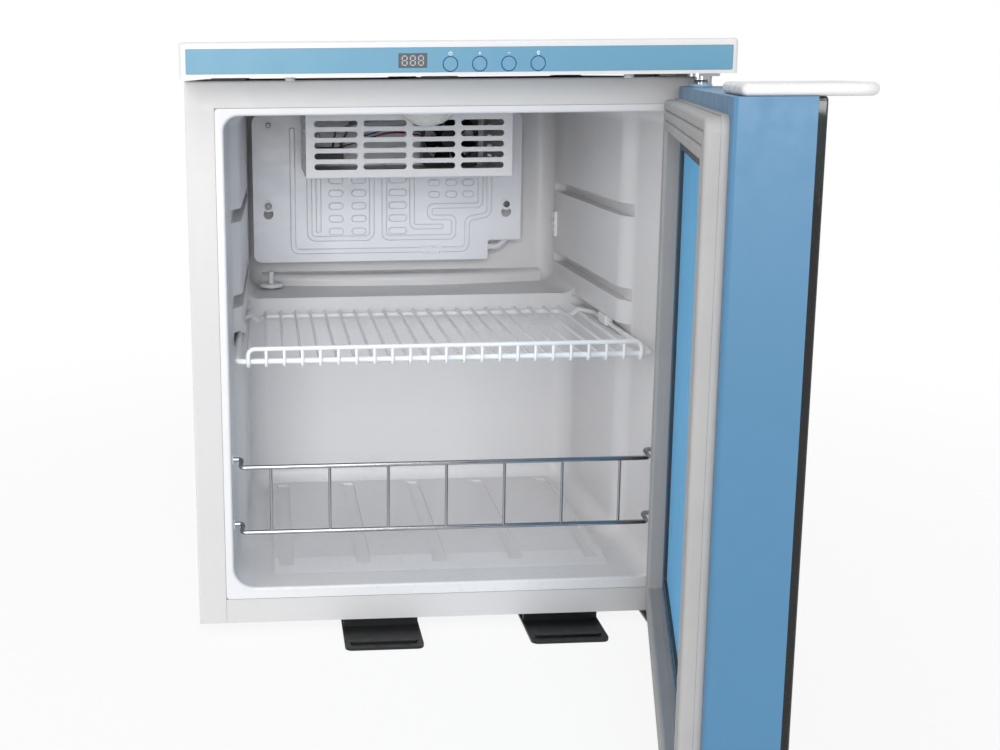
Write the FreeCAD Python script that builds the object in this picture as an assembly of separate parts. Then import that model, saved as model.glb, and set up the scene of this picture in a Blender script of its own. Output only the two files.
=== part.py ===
"""Small top-panel refrigerated cabinet with its glazed door standing open.

Millimetres.  X runs to the right, Y into the cabinet, Z up.  Everything is laid out with the middle of the
body's front flange at X = 0, Y = 0 and the underside of the body at Z = 0; the door is drawn shut and then
turned about its hinge.  Just before export all nodes move together, so that the origin comes to the middle
of the footprint at floor level.
"""
import FreeCAD, Part
import math
import os

V = FreeCAD.Vector

# ---------------------------------------------------------------- driving dimensions
BODY_W = 440.0            # outside width of the steel body
BODY_D = 420.0            # front flange to back panel
BODY_H = 473.6            # underside of the body to the top sheet
SHEET = 0.8               # steel sheet
FRONT_ROUND = 2.0         # outer rounding where the shell folds round the front
FLANGE = 24.2             # width of the folded front flange of the shell
SEAM = 0.4                # visible seam between shell, liner flange and bottom rail
RAIL_H = 22.0             # height of the separate bottom front rail
FOOT_H = 10.0             # body above the floor

MOUTH_HALF = BODY_W / 2 - 31.0          # half width of the compartment at its mouth
FLOOR_Z = RAIL_H + 10.4
CEILING_Z = BODY_H - 28.8
BACK_Y = BODY_D - 40.0
PANEL_FRONT_HALF = MOUTH_HALF - 11.0    # half width between the raised side panels, behind their bevel
PANEL_BACK_HALF = MOUTH_HALF - 15.0     # and at the back wall
BEVEL_Y = (95.0, 113.0)   # where the bevel up to the raised panel starts and ends
HUMP_Y = BODY_D - 140.0   # front of the step over the compressor
HUMP_Z = BODY_H * 0.51    # top of that step
WALL = 2.5                # liner wall
CORNER_R = 13.0           # rounding where the liner's walls meet its roof and its step
FLOOR_CORNER_R = 19.0     # and where they meet its floor
SHELF_GROOVES = (HUMP_Z - 11.2, HUMP_Z + 23.3, CEILING_Z - 100.1)   # undersides of the shelf grooves
GROOVE_H = 12.0
GROOVE_END = BACK_Y - 18.0
RIB_PITCH = 70.9          # floor grooves between the raised pads
RIB_GROOVE_W = 13.5

COVER_GAP = 2.3           # shadow gap between the body and the top cover
COVER_H = 27.4
COVER_FRONT = -57.4
COVER_WALL = 2.5
STRIP_Z = (2.7, 22.2)     # fascia strip above the underside of the cover
STRIP_HALF = BODY_W / 2 - 5.0
DISPLAY_X = (-50.0, -27.4)
DISPLAY_Z = (6.3, 17.7)   # above the underside of the cover
BUTTON_XS = {"power": -9.3, "plus": 13.7, "minus": 36.7, "lamp": 59.8}
BUTTON_R = 5.7
BUTTON_GAP = 0.35

BAY_HALF = BODY_W / 2 - 48.0            # compressor bay: half width, front wall and roof
BAY_Y = HUMP_Y + 26.0
BAY_TOP = HUMP_Z - 38.5
COMPRESSOR = V(BAY_HALF - 117.0, BODY_D - 57.0, 0.0)

EVAP_Y = BACK_Y - 28.0    # front face of the evaporator plate
EVAP_X = (5.4 - PANEL_BACK_HALF, PANEL_BACK_HALF - 41.0)
EVAP_Z = (HUMP_Z + 28.0, CEILING_Z - 10.5)
NOTCH_X, NOTCH_Z = EVAP_X[1] - 37.0, EVAP_Z[0] + 21.8
EVAP_SCREWS = ((0.056, 0.386), (0.945, 0.378), (0.06, 0.93))   # shares of the plate's width and height
CHANNEL_W = 6.4           # flow channels raised on the evaporator plate
CHANNEL_BEND = 7.0
CHANNEL_RISE = 1.9

GRILLE_X = (EVAP_X[0] + 54.2, EVAP_X[1] - 43.2)
GRILLE_Z = (CEILING_Z - 68.4, CEILING_Z - 2.4)
GRILLE_Y = EVAP_Y - 162.0
FAN_CENTRE = V(GRILLE_X[1] - 43.5, EVAP_Y - 42.0, GRILLE_Z[0] + 32.2)

HINGE = V(BODY_W / 2 - 20.0, -29.0, 0.0)
DOOR_OPEN = 75.0          # degrees the door stands open
DOOR_HALF = BODY_W / 2 - 6.0
DOOR_Z = (5.0, BODY_H - 8.1)
DOOR_REAR = -13.0
DOOR_FRONT = -53.5
GLASS_T = 4.4
STILE = 48.0
GASKET_GAP = 0.8          # gasket face to the body flange with the door shut
GASKET_INSET = 9.5
GASKET_ROUND = 2.8        # rounding of the three soft ridges that meet the body
PIN_R = 4.0
PIN_FIT = 0.06

SHELF_BAR_R = 2.5
SHELF_WIRE_R = 1.4
SHELF_HALF = PANEL_BACK_HALF + 8.2
SHELF_LIP_HALF = PANEL_BACK_HALF - 1.4
SHELF_WIRES = 23
SHELF_Y = (18.0, HUMP_Y - 18.0)
SHELF_Z = SHELF_GROOVES[0] + SHELF_BAR_R + 0.4
STACK = SHELF_BAR_R + SHELF_WIRE_R + 0.02   # height between the axes of a frame bar and a wire it carries
LIP_H = 15.8
LIP_R = 2.0

GUARD_Y = 20.0
GUARD_ZS = (FLOOR_Z + 111.9, FLOOR_Z + 52.3)
GUARD_R = 2.0
GUARD_UPRIGHTS = 7

STABILISERS = {"left": (-93.6, 41.5), "right": (68.6, 40.0)}   # left edge, reach in front of the body
STABILISER_W = 68.5

COVER_Z0 = BODY_H + COVER_GAP
COVER_Z1 = COVER_Z0 + COVER_H
BUTTON_Z = COVER_Z0 + 9.1
PANEL_Y = COVER_FRONT + 0.6

nodes = {}


# ---------------------------------------------------------------- helpers
def box(x0, x1, y0, y1, z0, z1):
    """Box between two opposite corners."""
    return Part.makeBox(x1 - x0, y1 - y0, z1 - z0, V(x0, y0, z0))


def rod(start, end, radius):
    """Round bar between two points."""
    along = end - start
    return Part.makeCylinder(radius, along.Length, start, along)


def rounded_outline(points, radii):
    """Closed wire through corner points, each corner rounded by its own radius (0 keeps it sharp)."""
    count = len(points)
    edges = []
    ends = []
    for i, corner in enumerate(points):
        before, after = points[i - 1], points[(i + 1) % count]
        radius = radii[i] if isinstance(radii, (list, tuple)) else radii
        to_before = (before - corner).normalize()
        to_after = (after - corner).normalize()
        half = to_before.getAngle(to_after) / 2
        if radius <= 0 or half > math.pi / 2 - 1e-6:
            ends.append((corner, corner))
            continue
        run = radius / math.tan(half)
        first = corner + to_before * run
        last = corner + to_after * run
        bisector = (to_before + to_after).normalize()
        middle = corner + bisector * (radius / math.sin(half) - radius)
        ends.append((first, last))
        edges.append((i, Part.Arc(first, middle, last).toShape()))
    arcs = dict(edges)
    chain = []
    for i in range(count):
        if i in arcs:
            chain.append(arcs[i])
        leave, arrive = ends[i][1], ends[(i + 1) % count][0]
        if (arrive - leave).Length > 1e-6:
            chain.append(Part.makeLine(leave, arrive))
    return Part.Wire(chain)


def slab(points, radii, direction):
    """Flat rounded outline pushed along a direction."""
    return Part.Face(rounded_outline(points, radii)).extrude(direction)


def rect_xz(x0, x1, z0, z1, y0, y1, radius):
    """Rounded rectangle facing the front, from y0 back to y1."""
    points = [V(x0, y0, z0), V(x1, y0, z0), V(x1, y0, z1), V(x0, y0, z1)]
    return slab(points, radius, V(0, y1 - y0, 0))


def rect_xy(x0, x1, y0, y1, z0, z1, radius):
    """Rounded rectangle seen from above, from z0 up to z1."""
    points = [V(x0, y0, z0), V(x1, y0, z0), V(x1, y1, z0), V(x0, y1, z0)]
    return slab(points, radius, V(0, 0, z1 - z0))


def ring_xz(half, z0, z1, width, y0, y1, radius):
    """Rounded rectangular frame facing the front."""
    outer = rect_xz(-half, half, z0, z1, y0, y1, radius)
    hole_r = max(radius - width, 2)
    inner = rect_xz(-half + width, half - width, z0 + width, z1 - width, y0 - 1, y1 + 1, hole_r)
    return outer.cut(inner)


def bent_bar(points, bend, radius):
    """Round bar along straight runs joined by bends of one inside-centre radius."""
    edges = []
    cursor = points[0]
    for i in range(1, len(points) - 1):
        corner = points[i]
        to_before = (points[i - 1] - corner).normalize()
        to_after = (points[i + 1] - corner).normalize()
        half = to_before.getAngle(to_after) / 2
        run = bend / math.tan(half)
        first = corner + to_before * run
        last = corner + to_after * run
        middle = corner + (to_before + to_after).normalize() * (bend / math.sin(half) - bend)
        if (first - cursor).Length > 1e-6:
            edges.append(Part.makeLine(cursor, first))
        edges.append(Part.Arc(first, middle, last).toShape())
        cursor = last
    edges.append(Part.makeLine(cursor, points[-1]))
    path = Part.Wire(edges)
    start_direction = points[1] - points[0]
    profile = Part.Wire(Part.makeCircle(radius, points[0], start_direction))
    return path.makePipeShell([profile], True, True)


def joined(shapes):
    """Fuse overlapping shapes into one and drop the seams."""
    whole = shapes[0]
    if len(shapes) > 1:
        whole = shapes[0].fuse(shapes[1:])
    return whole.removeSplitter()


def edges_where(shape, test):
    """Edges for which the test holds at both ends and in the middle."""
    picked = []
    for edge in shape.Edges:
        spots = [edge.valueAt(edge.FirstParameter), edge.valueAt(edge.LastParameter),
                 edge.valueAt((edge.FirstParameter + edge.LastParameter) / 2)]
        if all(test(spot) for spot in spots):
            picked.append(edge)
    return picked


def mirrored(shape):
    """Copy on the other side of the cabinet's middle."""
    return shape.mirror(V(0, 0, 0), V(1, 0, 0))


def slot_tool(x0, x1, z, height, y0, y1):
    """Round-ended slot through a front face."""
    return rect_xz(x0, x1, z - height / 2, z + height / 2, y0, y1, height / 2 - 0.01)


# ---------------------------------------------------------------- moulded liner
def panel_half(y, grow):
    """Half width between the raised side panels at depth y, straight from the bevel to the back wall."""
    y0, y1 = BEVEL_Y[1] + grow / 2, BACK_Y + grow
    return PANEL_FRONT_HALF + grow - (PANEL_FRONT_HALF - PANEL_BACK_HALF) * (y - y0) / (y1 - y0)


def tub(back, back_corner, floor, ceiling, floor_r, grow):
    """One rounded box of the compartment, open to the front, widened all round by grow."""
    front = -10.0
    right = [V(MOUTH_HALF + grow, front, floor),
             V(MOUTH_HALF - 1.5 + grow, BEVEL_Y[0] + grow / 2, floor),
             V(PANEL_FRONT_HALF + grow, BEVEL_Y[1] + grow / 2, floor),
             V(panel_half(back + grow, grow), back + grow, floor)]
    left = [V(-p.x, p.y, p.z) for p in reversed(right)]
    bend = 24.0
    corner = back_corner + grow
    radii = [0, bend + grow, bend - grow, corner, corner, bend - grow, bend + grow, 0]
    block = slab(right + left, radii, V(0, 0, ceiling - floor))
    behind = front + 0.5
    low_rims = [e for e in block.Edges if e.BoundBox.ZMax < floor + 1e-3 and e.BoundBox.YMax > behind]
    block = block.makeFillet(floor_r + grow, low_rims)
    top_rims = [e for e in block.Edges if e.BoundBox.ZMin > ceiling - 1e-3 and e.BoundBox.YMax > behind]
    return block.makeFillet(CORNER_R + grow, top_rims)


def groove(z, grow):
    """Shelf groove in the right-hand raised panel: round back end, open to the bevel in front."""
    end = GROOVE_END if z > HUMP_Z else HUMP_Y - 9
    y0, y1 = BEVEL_Y[0] - 6, end + grow
    z0, z1 = z - grow, z + GROOVE_H + grow
    points = [V(PANEL_BACK_HALF - 6, y0, z0), V(PANEL_BACK_HALF - 6, y1, z0),
              V(PANEL_BACK_HALF - 6, y1, z1), V(PANEL_BACK_HALF - 6, y0, z1)]
    end_r = GROOVE_H / 2 - 1
    return slab(points, [0, end_r, end_r, 0], V(MOUTH_HALF - 2.1 + grow - PANEL_BACK_HALF + 6, 0, 0))


def cavity(grow):
    """The air space of the compartment; grow moves every wall outwards by that much."""
    lower = tub(HUMP_Y, 22.0, FLOOR_Z - grow, CEILING_Z + grow, FLOOR_CORNER_R, grow)
    upper = tub(BACK_Y, 18.0, HUMP_Z - grow, CEILING_Z + grow, CORNER_R, grow)
    space = lower.fuse(upper)
    for z in SHELF_GROOVES:
        space = space.fuse(groove(z, grow)).fuse(mirrored(groove(z, grow)))
    return space


def floor_pad(grow):
    """Raised floor with a sloping front and shallow grooves that run back to the step."""
    half = 2 * RIB_PITCH + RIB_GROOVE_W / 2 + 4.5
    top = FLOOR_Z + 4.5 - grow
    profile = [V(-half, 30 + grow, FLOOR_Z - 4), V(-half, 30 + grow, FLOOR_Z - grow),
               V(-half, 56 + grow / 2, top), V(-half, HUMP_Y + 6, top), V(-half, HUMP_Y + 6, FLOOR_Z - 4)]
    pad = slab(profile, 0, V(2 * half, 0, 0))
    cuts = []
    for i in range(-2, 3):
        x = i * RIB_PITCH
        cuts.append(rect_xy(x - RIB_GROOVE_W / 2 - grow, x + RIB_GROOVE_W / 2 + grow, 36, HUMP_Y - 14,
                            top - 2.2, top + 2, 4))
    return pad.cut(cuts[0].fuse(cuts[1:]))


def drip_ledge():
    """Bowed gutter lip along the back wall below the evaporator."""
    z0, z1 = HUMP_Z - 1, HUMP_Z + 13
    half, ends, behind = PANEL_BACK_HALF - 14, BACK_Y - 14, BACK_Y + 1
    corners = [V(half, ends, z0), V(half, behind, z0), V(-half, behind, z0), V(-half, ends, z0)]
    bow = Part.Arc(corners[3], V(0, ends - 18, z0), corners[0]).toShape()
    sides = [Part.makeLine(a, b) for a, b in zip(corners, corners[1:])]
    ledge = Part.Face(Part.Wire([bow] + sides)).extrude(V(0, 0, z1 - z0))
    rim = edges_where(ledge, lambda p: abs(p.z - z1) < 1e-3 and p.y < ends + 1)
    return ledge.makeFillet(7, rim)


def build_liner():
    inside = cavity(0)
    outside = cavity(WALL)
    flange_half = BODY_W / 2 - FLANGE
    flange = rect_xz(-flange_half, flange_half, RAIL_H + SEAM, BODY_H - FLANGE + 1.5, 0, WALL, 3)
    behind_front = box(-BODY_W, BODY_W, 0, BODY_D, 0, BODY_H)
    shell = outside.common(behind_front).cut(inside).fuse(flange.cut(inside))
    mouth = [e for e in shell.Edges
             if e.BoundBox.YMax < 1e-3
             and e.BoundBox.XMax < MOUTH_HALF + 1 and e.BoundBox.XMin > -MOUTH_HALF - 1
             and e.BoundBox.ZMin > FLOOR_Z - 1 and e.BoundBox.ZMax < CEILING_Z + 1]
    shell = shell.makeFillet(2.2, mouth)
    pad = floor_pad(0)
    ledge = drip_ledge()
    nodes["liner"] = shell.fuse([pad.common(outside), ledge.common(outside)])
    return outside


# ---------------------------------------------------------------- steel body and foam
def build_body(liner_outside):
    half = BODY_W / 2
    block = box(-half, half, 0, BODY_D, 0, BODY_H)

    def outer_rims(shape, inset):
        """Side and top edges of the front face of a block that lies inset inside the body."""
        def on_rim(p):
            at_side = abs(abs(p.x) - half + inset) < 1e-6
            return abs(p.y - inset) < 1e-6 and (at_side or abs(p.z - BODY_H + inset) < 1e-6)
        return edges_where(shape, on_rim)

    block = block.makeFillet(FRONT_ROUND, outer_rims(block, 0))
    inner = box(-half + SHEET, half - SHEET, SHEET, BODY_D + 1, -1, BODY_H - SHEET)
    inner = inner.makeFillet(FRONT_ROUND - SHEET, outer_rims(inner, SHEET))
    opening_half = half - FLANGE + SEAM
    opening = box(-opening_half, opening_half, -1, SHEET + 1, -1, BODY_H - FLANGE + 1.5 + SEAM)
    nodes["outer_shell"] = block.cut(inner).cut(opening)

    rail_half = half - FLANGE
    rail = box(-rail_half, rail_half, 0, SHEET, 0, RAIL_H)
    pan = box(-half + 2.2, half - 2.2, SHEET, BAY_Y, 0, SHEET)
    side_pan = box(-half + 2.2, -BAY_HALF, BAY_Y, BODY_D - 1.2, 0, SHEET)
    fold = box(-rail_half, rail_half, 0, 1.5, 0, SHEET)
    nodes["base_pan"] = joined([rail, fold, pan, side_pan, mirrored(side_pan)])

    back = box(-half + 1.2, half - 1.2, BODY_D - SHEET, BODY_D, 0, BODY_H - 1.2)
    bay = box(-BAY_HALF, BAY_HALF, BODY_D - 2, BODY_D + 1, -1, BAY_TOP)
    back = back.cut(bay)
    for i in range(3):
        z = BAY_TOP + 47 + i * 80
        bead = rect_xz(22 - BAY_HALF, BAY_HALF - 22, z, z + 14, BODY_D - 0.1, BODY_D + 1.4, 6.9)
        rim = [e for e in bead.Edges if e.BoundBox.YMin > BODY_D + 1.3]
        back = back.fuse(bead.makeChamfer(1.0, rim))
    nodes["back_panel"] = back.removeSplitter()

    foam = box(-half + SHEET, half - SHEET, SHEET, BODY_D - SHEET, SHEET, BODY_H - SHEET)
    foam = foam.makeFillet(FRONT_ROUND - SHEET, outer_rims(foam, SHEET))
    bay_space = box(-BAY_HALF, BAY_HALF, BAY_Y, BODY_D, -1, BAY_TOP)
    flange_room = box(-half + FLANGE - 0.1, half - FLANGE + 0.1, -1, WALL, RAIL_H, BODY_H - FLANGE + 1.6)
    foam = foam.cut([bay_space, flange_room, liner_outside])
    side = PANEL_BACK_HALF + WALL
    cells = [box(-half, -MOUTH_HALF - WALL, 0, BODY_D, 0, BODY_H),
             box(MOUTH_HALF + WALL, half, 0, BODY_D, 0, BODY_H),
             box(-MOUTH_HALF - WALL, MOUTH_HALF + WALL, 0, BODY_D, CEILING_Z + WALL, BODY_H),
             box(-MOUTH_HALF - WALL, MOUTH_HALF + WALL, 0, BODY_D, 0, FLOOR_Z - WALL),
             box(-side, side, BACK_Y + WALL, BODY_D, FLOOR_Z - WALL, CEILING_Z + WALL),
             box(-side, side, HUMP_Y + WALL - 4, BACK_Y + WALL, FLOOR_Z - WALL, HUMP_Z - WALL),
             box(-MOUTH_HALF - WALL, -side, BEVEL_Y[0], BODY_D, FLOOR_Z - WALL, CEILING_Z + WALL),
             box(side, MOUTH_HALF + WALL, BEVEL_Y[0], BODY_D, FLOOR_Z - WALL, CEILING_Z + WALL)]
    pieces = []
    for cell in cells:
        pieces += [s for s in foam.common(cell).Solids if s.Volume > 2000]
    nodes["insulation"] = Part.makeCompound(pieces)


# ---------------------------------------------------------------- compressor bay
def build_bay():
    plate = box(-BAY_HALF + 0.5, BAY_HALF - 0.5, BAY_Y + 1, BODY_D - 1, 0, 2)
    lip = box(-BAY_HALF + 0.5, BAY_HALF - 0.5, BODY_D - 3, BODY_D - 1, 0, 12)
    plate = joined([plate, lip])
    cx, cy = COMPRESSOR.x, COMPRESSOR.y
    spots = [V(cx + sx * 76, cy + sy * 34, 0) for sx in (-1, 1) for sy in (-1, 1)]
    for spot in spots:
        plate = plate.cut(Part.makeCylinder(4.2, 6, spot - V(0, 0, 2)))
    nodes["compressor_base"] = plate

    grommets = []
    for spot in spots:
        ring = Part.makeCylinder(9, 5, spot + V(0, 0, 2)).fuse(Part.makeCylinder(6, 5, spot + V(0, 0, 8)))
        neck = Part.makeCylinder(4.2, 11, spot + V(0, 0, 0))
        neck = neck.fuse(Part.makeCylinder(4.9, 2, spot + V(0, 0, 6.5)))
        grommets.append(joined([ring, neck]))
    nodes["compressor_mounts"] = Part.makeCompound(grommets)

    can = rect_xy(cx - 70, cx + 70, cy - 46, cy + 46, 14, 140, 45.9)
    can = can.makeFillet(24, [e for e in can.Edges if e.BoundBox.ZMin > 139 or e.BoundBox.ZMax < 15])
    seam = rect_xy(cx - 73, cx + 73, cy - 49, cy + 49, 88, 92, 48.9)
    foot = box(cx - 86, cx + 86, cy - 42, cy + 42, 13.2, 16)
    for spot in spots:
        foot = foot.cut(Part.makeCylinder(5.0, 10, spot + V(0, 0, 9)))
    nodes["compressor"] = joined([can, seam, foot])

    starter = rect_xy(cx - 104, cx - 70.5, cy - 22, cy + 22, 52, 98, 5)
    nodes["starter_box"] = starter.cut(can).cut(seam)

    tray = rect_xy(cx - 62, cx + 62, cy - 40, cy + 40, 140, 165, 14)
    hollow = rect_xy(cx - 60, cx + 60, cy - 38, cy + 38, 142, 170, 12)
    nodes["drip_tray"] = tray.cut(hollow).cut(can)

    mouth = V(cx - 39, cy + 3, 150)
    hose = Part.makeCylinder(6, BAY_TOP - mouth.z, mouth)
    nodes["drain_hose"] = hose.cut(Part.makeCylinder(4.5, BAY_TOP, mouth - V(0, 0, 2)))

    drier_x, drier_y = 52 - BAY_HALF, BAY_Y + 24
    body = Part.makeCylinder(9, 74, V(drier_x, drier_y, 60))
    tip_a = Part.makeCone(9, 3, 14, V(drier_x, drier_y, 134))
    tip_b = Part.makeCone(3, 9, 14, V(drier_x, drier_y, 46))
    nodes["filter_drier"] = joined([body, tip_a, tip_b])

    roof = BAY_TOP - 11
    inner_x = drier_x - 30
    discharge = bent_bar([V(cx + 60, cy - 16, 112), V(cx + 86, cy - 16, 112), V(cx + 86, cy - 16, roof),
                          V(drier_x, cy - 16, roof), V(drier_x, drier_y, roof),
                          V(drier_x, drier_y, 147)], 8, 2.5)
    suction = bent_bar([V(cx + 60, cy + 16, 104), V(cx + 100, cy + 16, 104), V(cx + 100, cy + 16, roof),
                        V(cx + 100, BAY_Y + 2, roof)], 8, 3.2)
    capillary = bent_bar([V(drier_x, drier_y, 47), V(drier_x, drier_y, 24), V(inner_x, drier_y, 24),
                          V(inner_x, drier_y, roof - 10), V(inner_x, BAY_Y + 2, roof - 10)], 8, 1.5)
    ends = [nodes["compressor"], nodes["filter_drier"]]
    lines = [tube.cut(ends) for tube in (discharge, suction, capillary)]
    nodes["refrigerant_lines"] = Part.makeCompound(lines)

    inlet_x = drier_x - 19
    inlet = rect_xz(inlet_x - 11, inlet_x + 11, 12, 34, BODY_D - 16, BODY_D - 1.2, 4)
    gland = Part.makeCylinder(6, 8, V(inlet_x, BODY_D - 1.2, 23), V(0, 1, 0))
    bore = Part.makeCylinder(3.6, 30, V(inlet_x, BODY_D - 8, 23), V(0, 1, 0))
    nodes["power_inlet"] = joined([inlet, gland]).cut(bore)


# ---------------------------------------------------------------- top cover and control panel
def segments(x, z, width, height, stroke, y0, y1):
    """The seven bars of one unlit digit, lower left corner at x, z."""
    middle = z + height / 2
    flat = [(z, z + stroke), (middle - stroke / 2, middle + stroke / 2), (z + height - stroke, z + height)]
    bars = [box(x + stroke, x + width - stroke, y0, y1, low + 0.05, high - 0.05) for low, high in flat]
    for left in (x, x + width - stroke):
        bars.append(box(left, left + stroke, y0, y1, z + stroke + 0.1, middle - stroke / 2 - 0.1))
        bars.append(box(left, left + stroke, y0, y1, middle + stroke / 2 + 0.1, z + height - stroke - 0.1))
    return bars


def build_cover():
    half = BODY_W / 2
    block = rect_xy(-half, half, COVER_FRONT, BODY_D, COVER_Z0, COVER_Z1, [5, 5, 3, 3])
    rims = [e for e in block.Edges if e.BoundBox.ZMin > COVER_Z1 - 1e-3]
    block = block.makeFillet(2.6, rims)
    hollow = box(-half + COVER_WALL, half - COVER_WALL, COVER_FRONT + COVER_WALL + 0.8, BODY_D - COVER_WALL,
                 COVER_Z0 - 1, COVER_Z1 - COVER_WALL)
    ledge = box(-half + COVER_WALL, half - COVER_WALL, 3, 6, COVER_Z0, COVER_Z1 - COVER_WALL)
    pads = [box(x, x + 30, y, y + 20, BODY_H, COVER_Z1 - COVER_WALL)
            for x in (20 - half, -15, half - 50) for y in (60, BODY_D - 60)]
    recess = rect_xz(-STRIP_HALF, STRIP_HALF, COVER_Z0 + STRIP_Z[0], COVER_Z0 + STRIP_Z[1],
                     COVER_FRONT - 1, PANEL_Y, 1.2)
    shell = joined([block.cut(hollow), ledge] + pads).cut(recess)
    wells = [Part.makeCylinder(BUTTON_R + BUTTON_GAP, 12, V(x, COVER_FRONT - 2, BUTTON_Z), V(0, 1, 0))
             for x in BUTTON_XS.values()]
    shell = shell.cut(wells)
    display_low, display_high = COVER_Z0 + DISPLAY_Z[0], COVER_Z0 + DISPLAY_Z[1]
    window = box(DISPLAY_X[0] + 1, DISPLAY_X[1] - 1, COVER_FRONT - 2, COVER_FRONT + 8,
                 display_low + 1, display_high - 1)
    shell = shell.cut(window)
    nodes["top_cover"] = shell

    strip = rect_xz(-STRIP_HALF + 0.2, STRIP_HALF - 0.2, COVER_Z0 + STRIP_Z[0] + 0.2,
                    COVER_Z0 + STRIP_Z[1] - 0.2, COVER_FRONT - 0.15, PANEL_Y, 1)
    lens_hole = box(DISPLAY_X[0], DISPLAY_X[1], COVER_FRONT - 2, COVER_FRONT + 8,
                    display_low, display_high)
    nodes["fascia_strip"] = strip.cut(wells + [lens_hole])

    nodes["display_window"] = box(DISPLAY_X[0] + 0.05, DISPLAY_X[1] - 0.05, COVER_FRONT - 0.05, PANEL_Y,
                                  display_low + 0.05, display_high - 0.05)
    digits = []
    for i in range(3):
        digits += segments(DISPLAY_X[0] + 2.6 + i * 6.4, display_low + 1.7, 4.6, 8.0, 0.9,
                           COVER_FRONT - 0.15, COVER_FRONT - 0.05)
    nodes["display_digits"] = Part.makeCompound(digits)
    module = box(DISPLAY_X[0] + 1.3, DISPLAY_X[1] - 1.3, PANEL_Y + 0.1, COVER_FRONT + 10.5,
                 display_low + 1.3, display_high - 1.3)

    board_y = COVER_FRONT + 10
    board = box(-90, 90, board_y, board_y + 1.6, COVER_Z0 + 3, COVER_Z0 + 23)
    chips = [box(-80, -66, board_y + 1.6, board_y + 4, COVER_Z0 + 7, COVER_Z0 + 17),
             box(66, 84, board_y + 1.6, board_y + 12, COVER_Z0 + 6, COVER_Z0 + 20)]
    switches = [box(x - 3, x + 3, board_y - 3.0, board_y, BUTTON_Z - 3, BUTTON_Z + 3)
                for x in BUTTON_XS.values()]
    posts = [box(x, x + 5, board_y + 1.6, 3, COVER_Z0 + 9, COVER_Z0 + 13) for x in (-88, 50)]
    nodes["control_board"] = joined([board, module] + chips + switches + posts)

    for name, x in BUTTON_XS.items():
        cap = Part.makeCylinder(BUTTON_R, 3.2, V(x, COVER_FRONT - 0.6, BUTTON_Z), V(0, 1, 0))
        cap = cap.makeFillet(0.5, [e for e in cap.Edges if e.BoundBox.YMax < COVER_FRONT - 0.5])
        stem = Part.makeCylinder(2.0, 3.0, V(x, COVER_FRONT + 2.6, BUTTON_Z), V(0, 1, 0))
        nodes["button_" + name] = joined([cap, stem])

    nodes["cover_tray"] = box(-half + COVER_WALL + 0.2, HINGE.x - 24, COVER_FRONT + COVER_WALL + 1.2, -1.0,
                              COVER_Z0, COVER_Z0 + 1.6)
    bumpers = []
    for x in (-134.0, 136.0):
        dome = Part.makeCylinder(4, 3.2, V(x, -44, COVER_Z0 - 3.2))
        bumpers.append(dome.makeFillet(1.5, [e for e in dome.Edges if e.BoundBox.ZMax < COVER_Z0 - 3]))
    nodes["cover_bumpers"] = Part.makeCompound(bumpers)


# ---------------------------------------------------------------- cold wall
def stroke_outline(route, width, bend):
    """Outline of a round-ended band of the given width along a route of points in the X-Z plane."""
    half = width / 2
    left, right, left_r, right_r = [], [], [], []
    for i, point in enumerate(route):
        before = route[i] - route[i - 1] if i else route[1] - route[0]
        after = route[i + 1] - route[i] if i < len(route) - 1 else before
        a = before.normalize()
        b = after.normalize()
        na, nb = V(-a.z, 0, a.x), V(-b.z, 0, b.x)
        mitre = (na + nb).normalize()
        reach = half / mitre.dot(na)
        turn = a.x * b.z - a.z * b.x
        left.append(point + mitre * reach)
        right.append(point - mitre * reach)
        if i in (0, len(route) - 1):
            left_r.append(half - 0.02)
            right_r.append(half - 0.02)
        else:
            left_r.append(bend - half if turn > 0 else bend + half)
            right_r.append(bend + half if turn > 0 else bend - half)
    points = left + right[::-1]
    return points, left_r + right_r[::-1]


def on_plate(across, up):
    """Point on the evaporator's front face, given as shares of its width and height."""
    return V(EVAP_X[0] + across * (EVAP_X[1] - EVAP_X[0]), EVAP_Y, EVAP_Z[0] + up * (EVAP_Z[1] - EVAP_Z[0]))


def channel(route, width=CHANNEL_W, bend=CHANNEL_BEND):
    """Raised flow channel on the evaporator plate with sloping flanks."""
    points, radii = stroke_outline(route, width, bend)
    band = slab(points, radii, V(0, -CHANNEL_RISE, 0))
    top = [e for e in band.Edges if e.BoundBox.YMax < EVAP_Y - CHANNEL_RISE + 1e-3]
    return band.makeChamfer(CHANNEL_RISE * 0.63, top)


def dash(centre, length, width):
    """Short level channel about a centre point."""
    return channel([centre - V(length / 2, 0, 0), centre + V(length / 2, 0, 0)], width)


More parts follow.
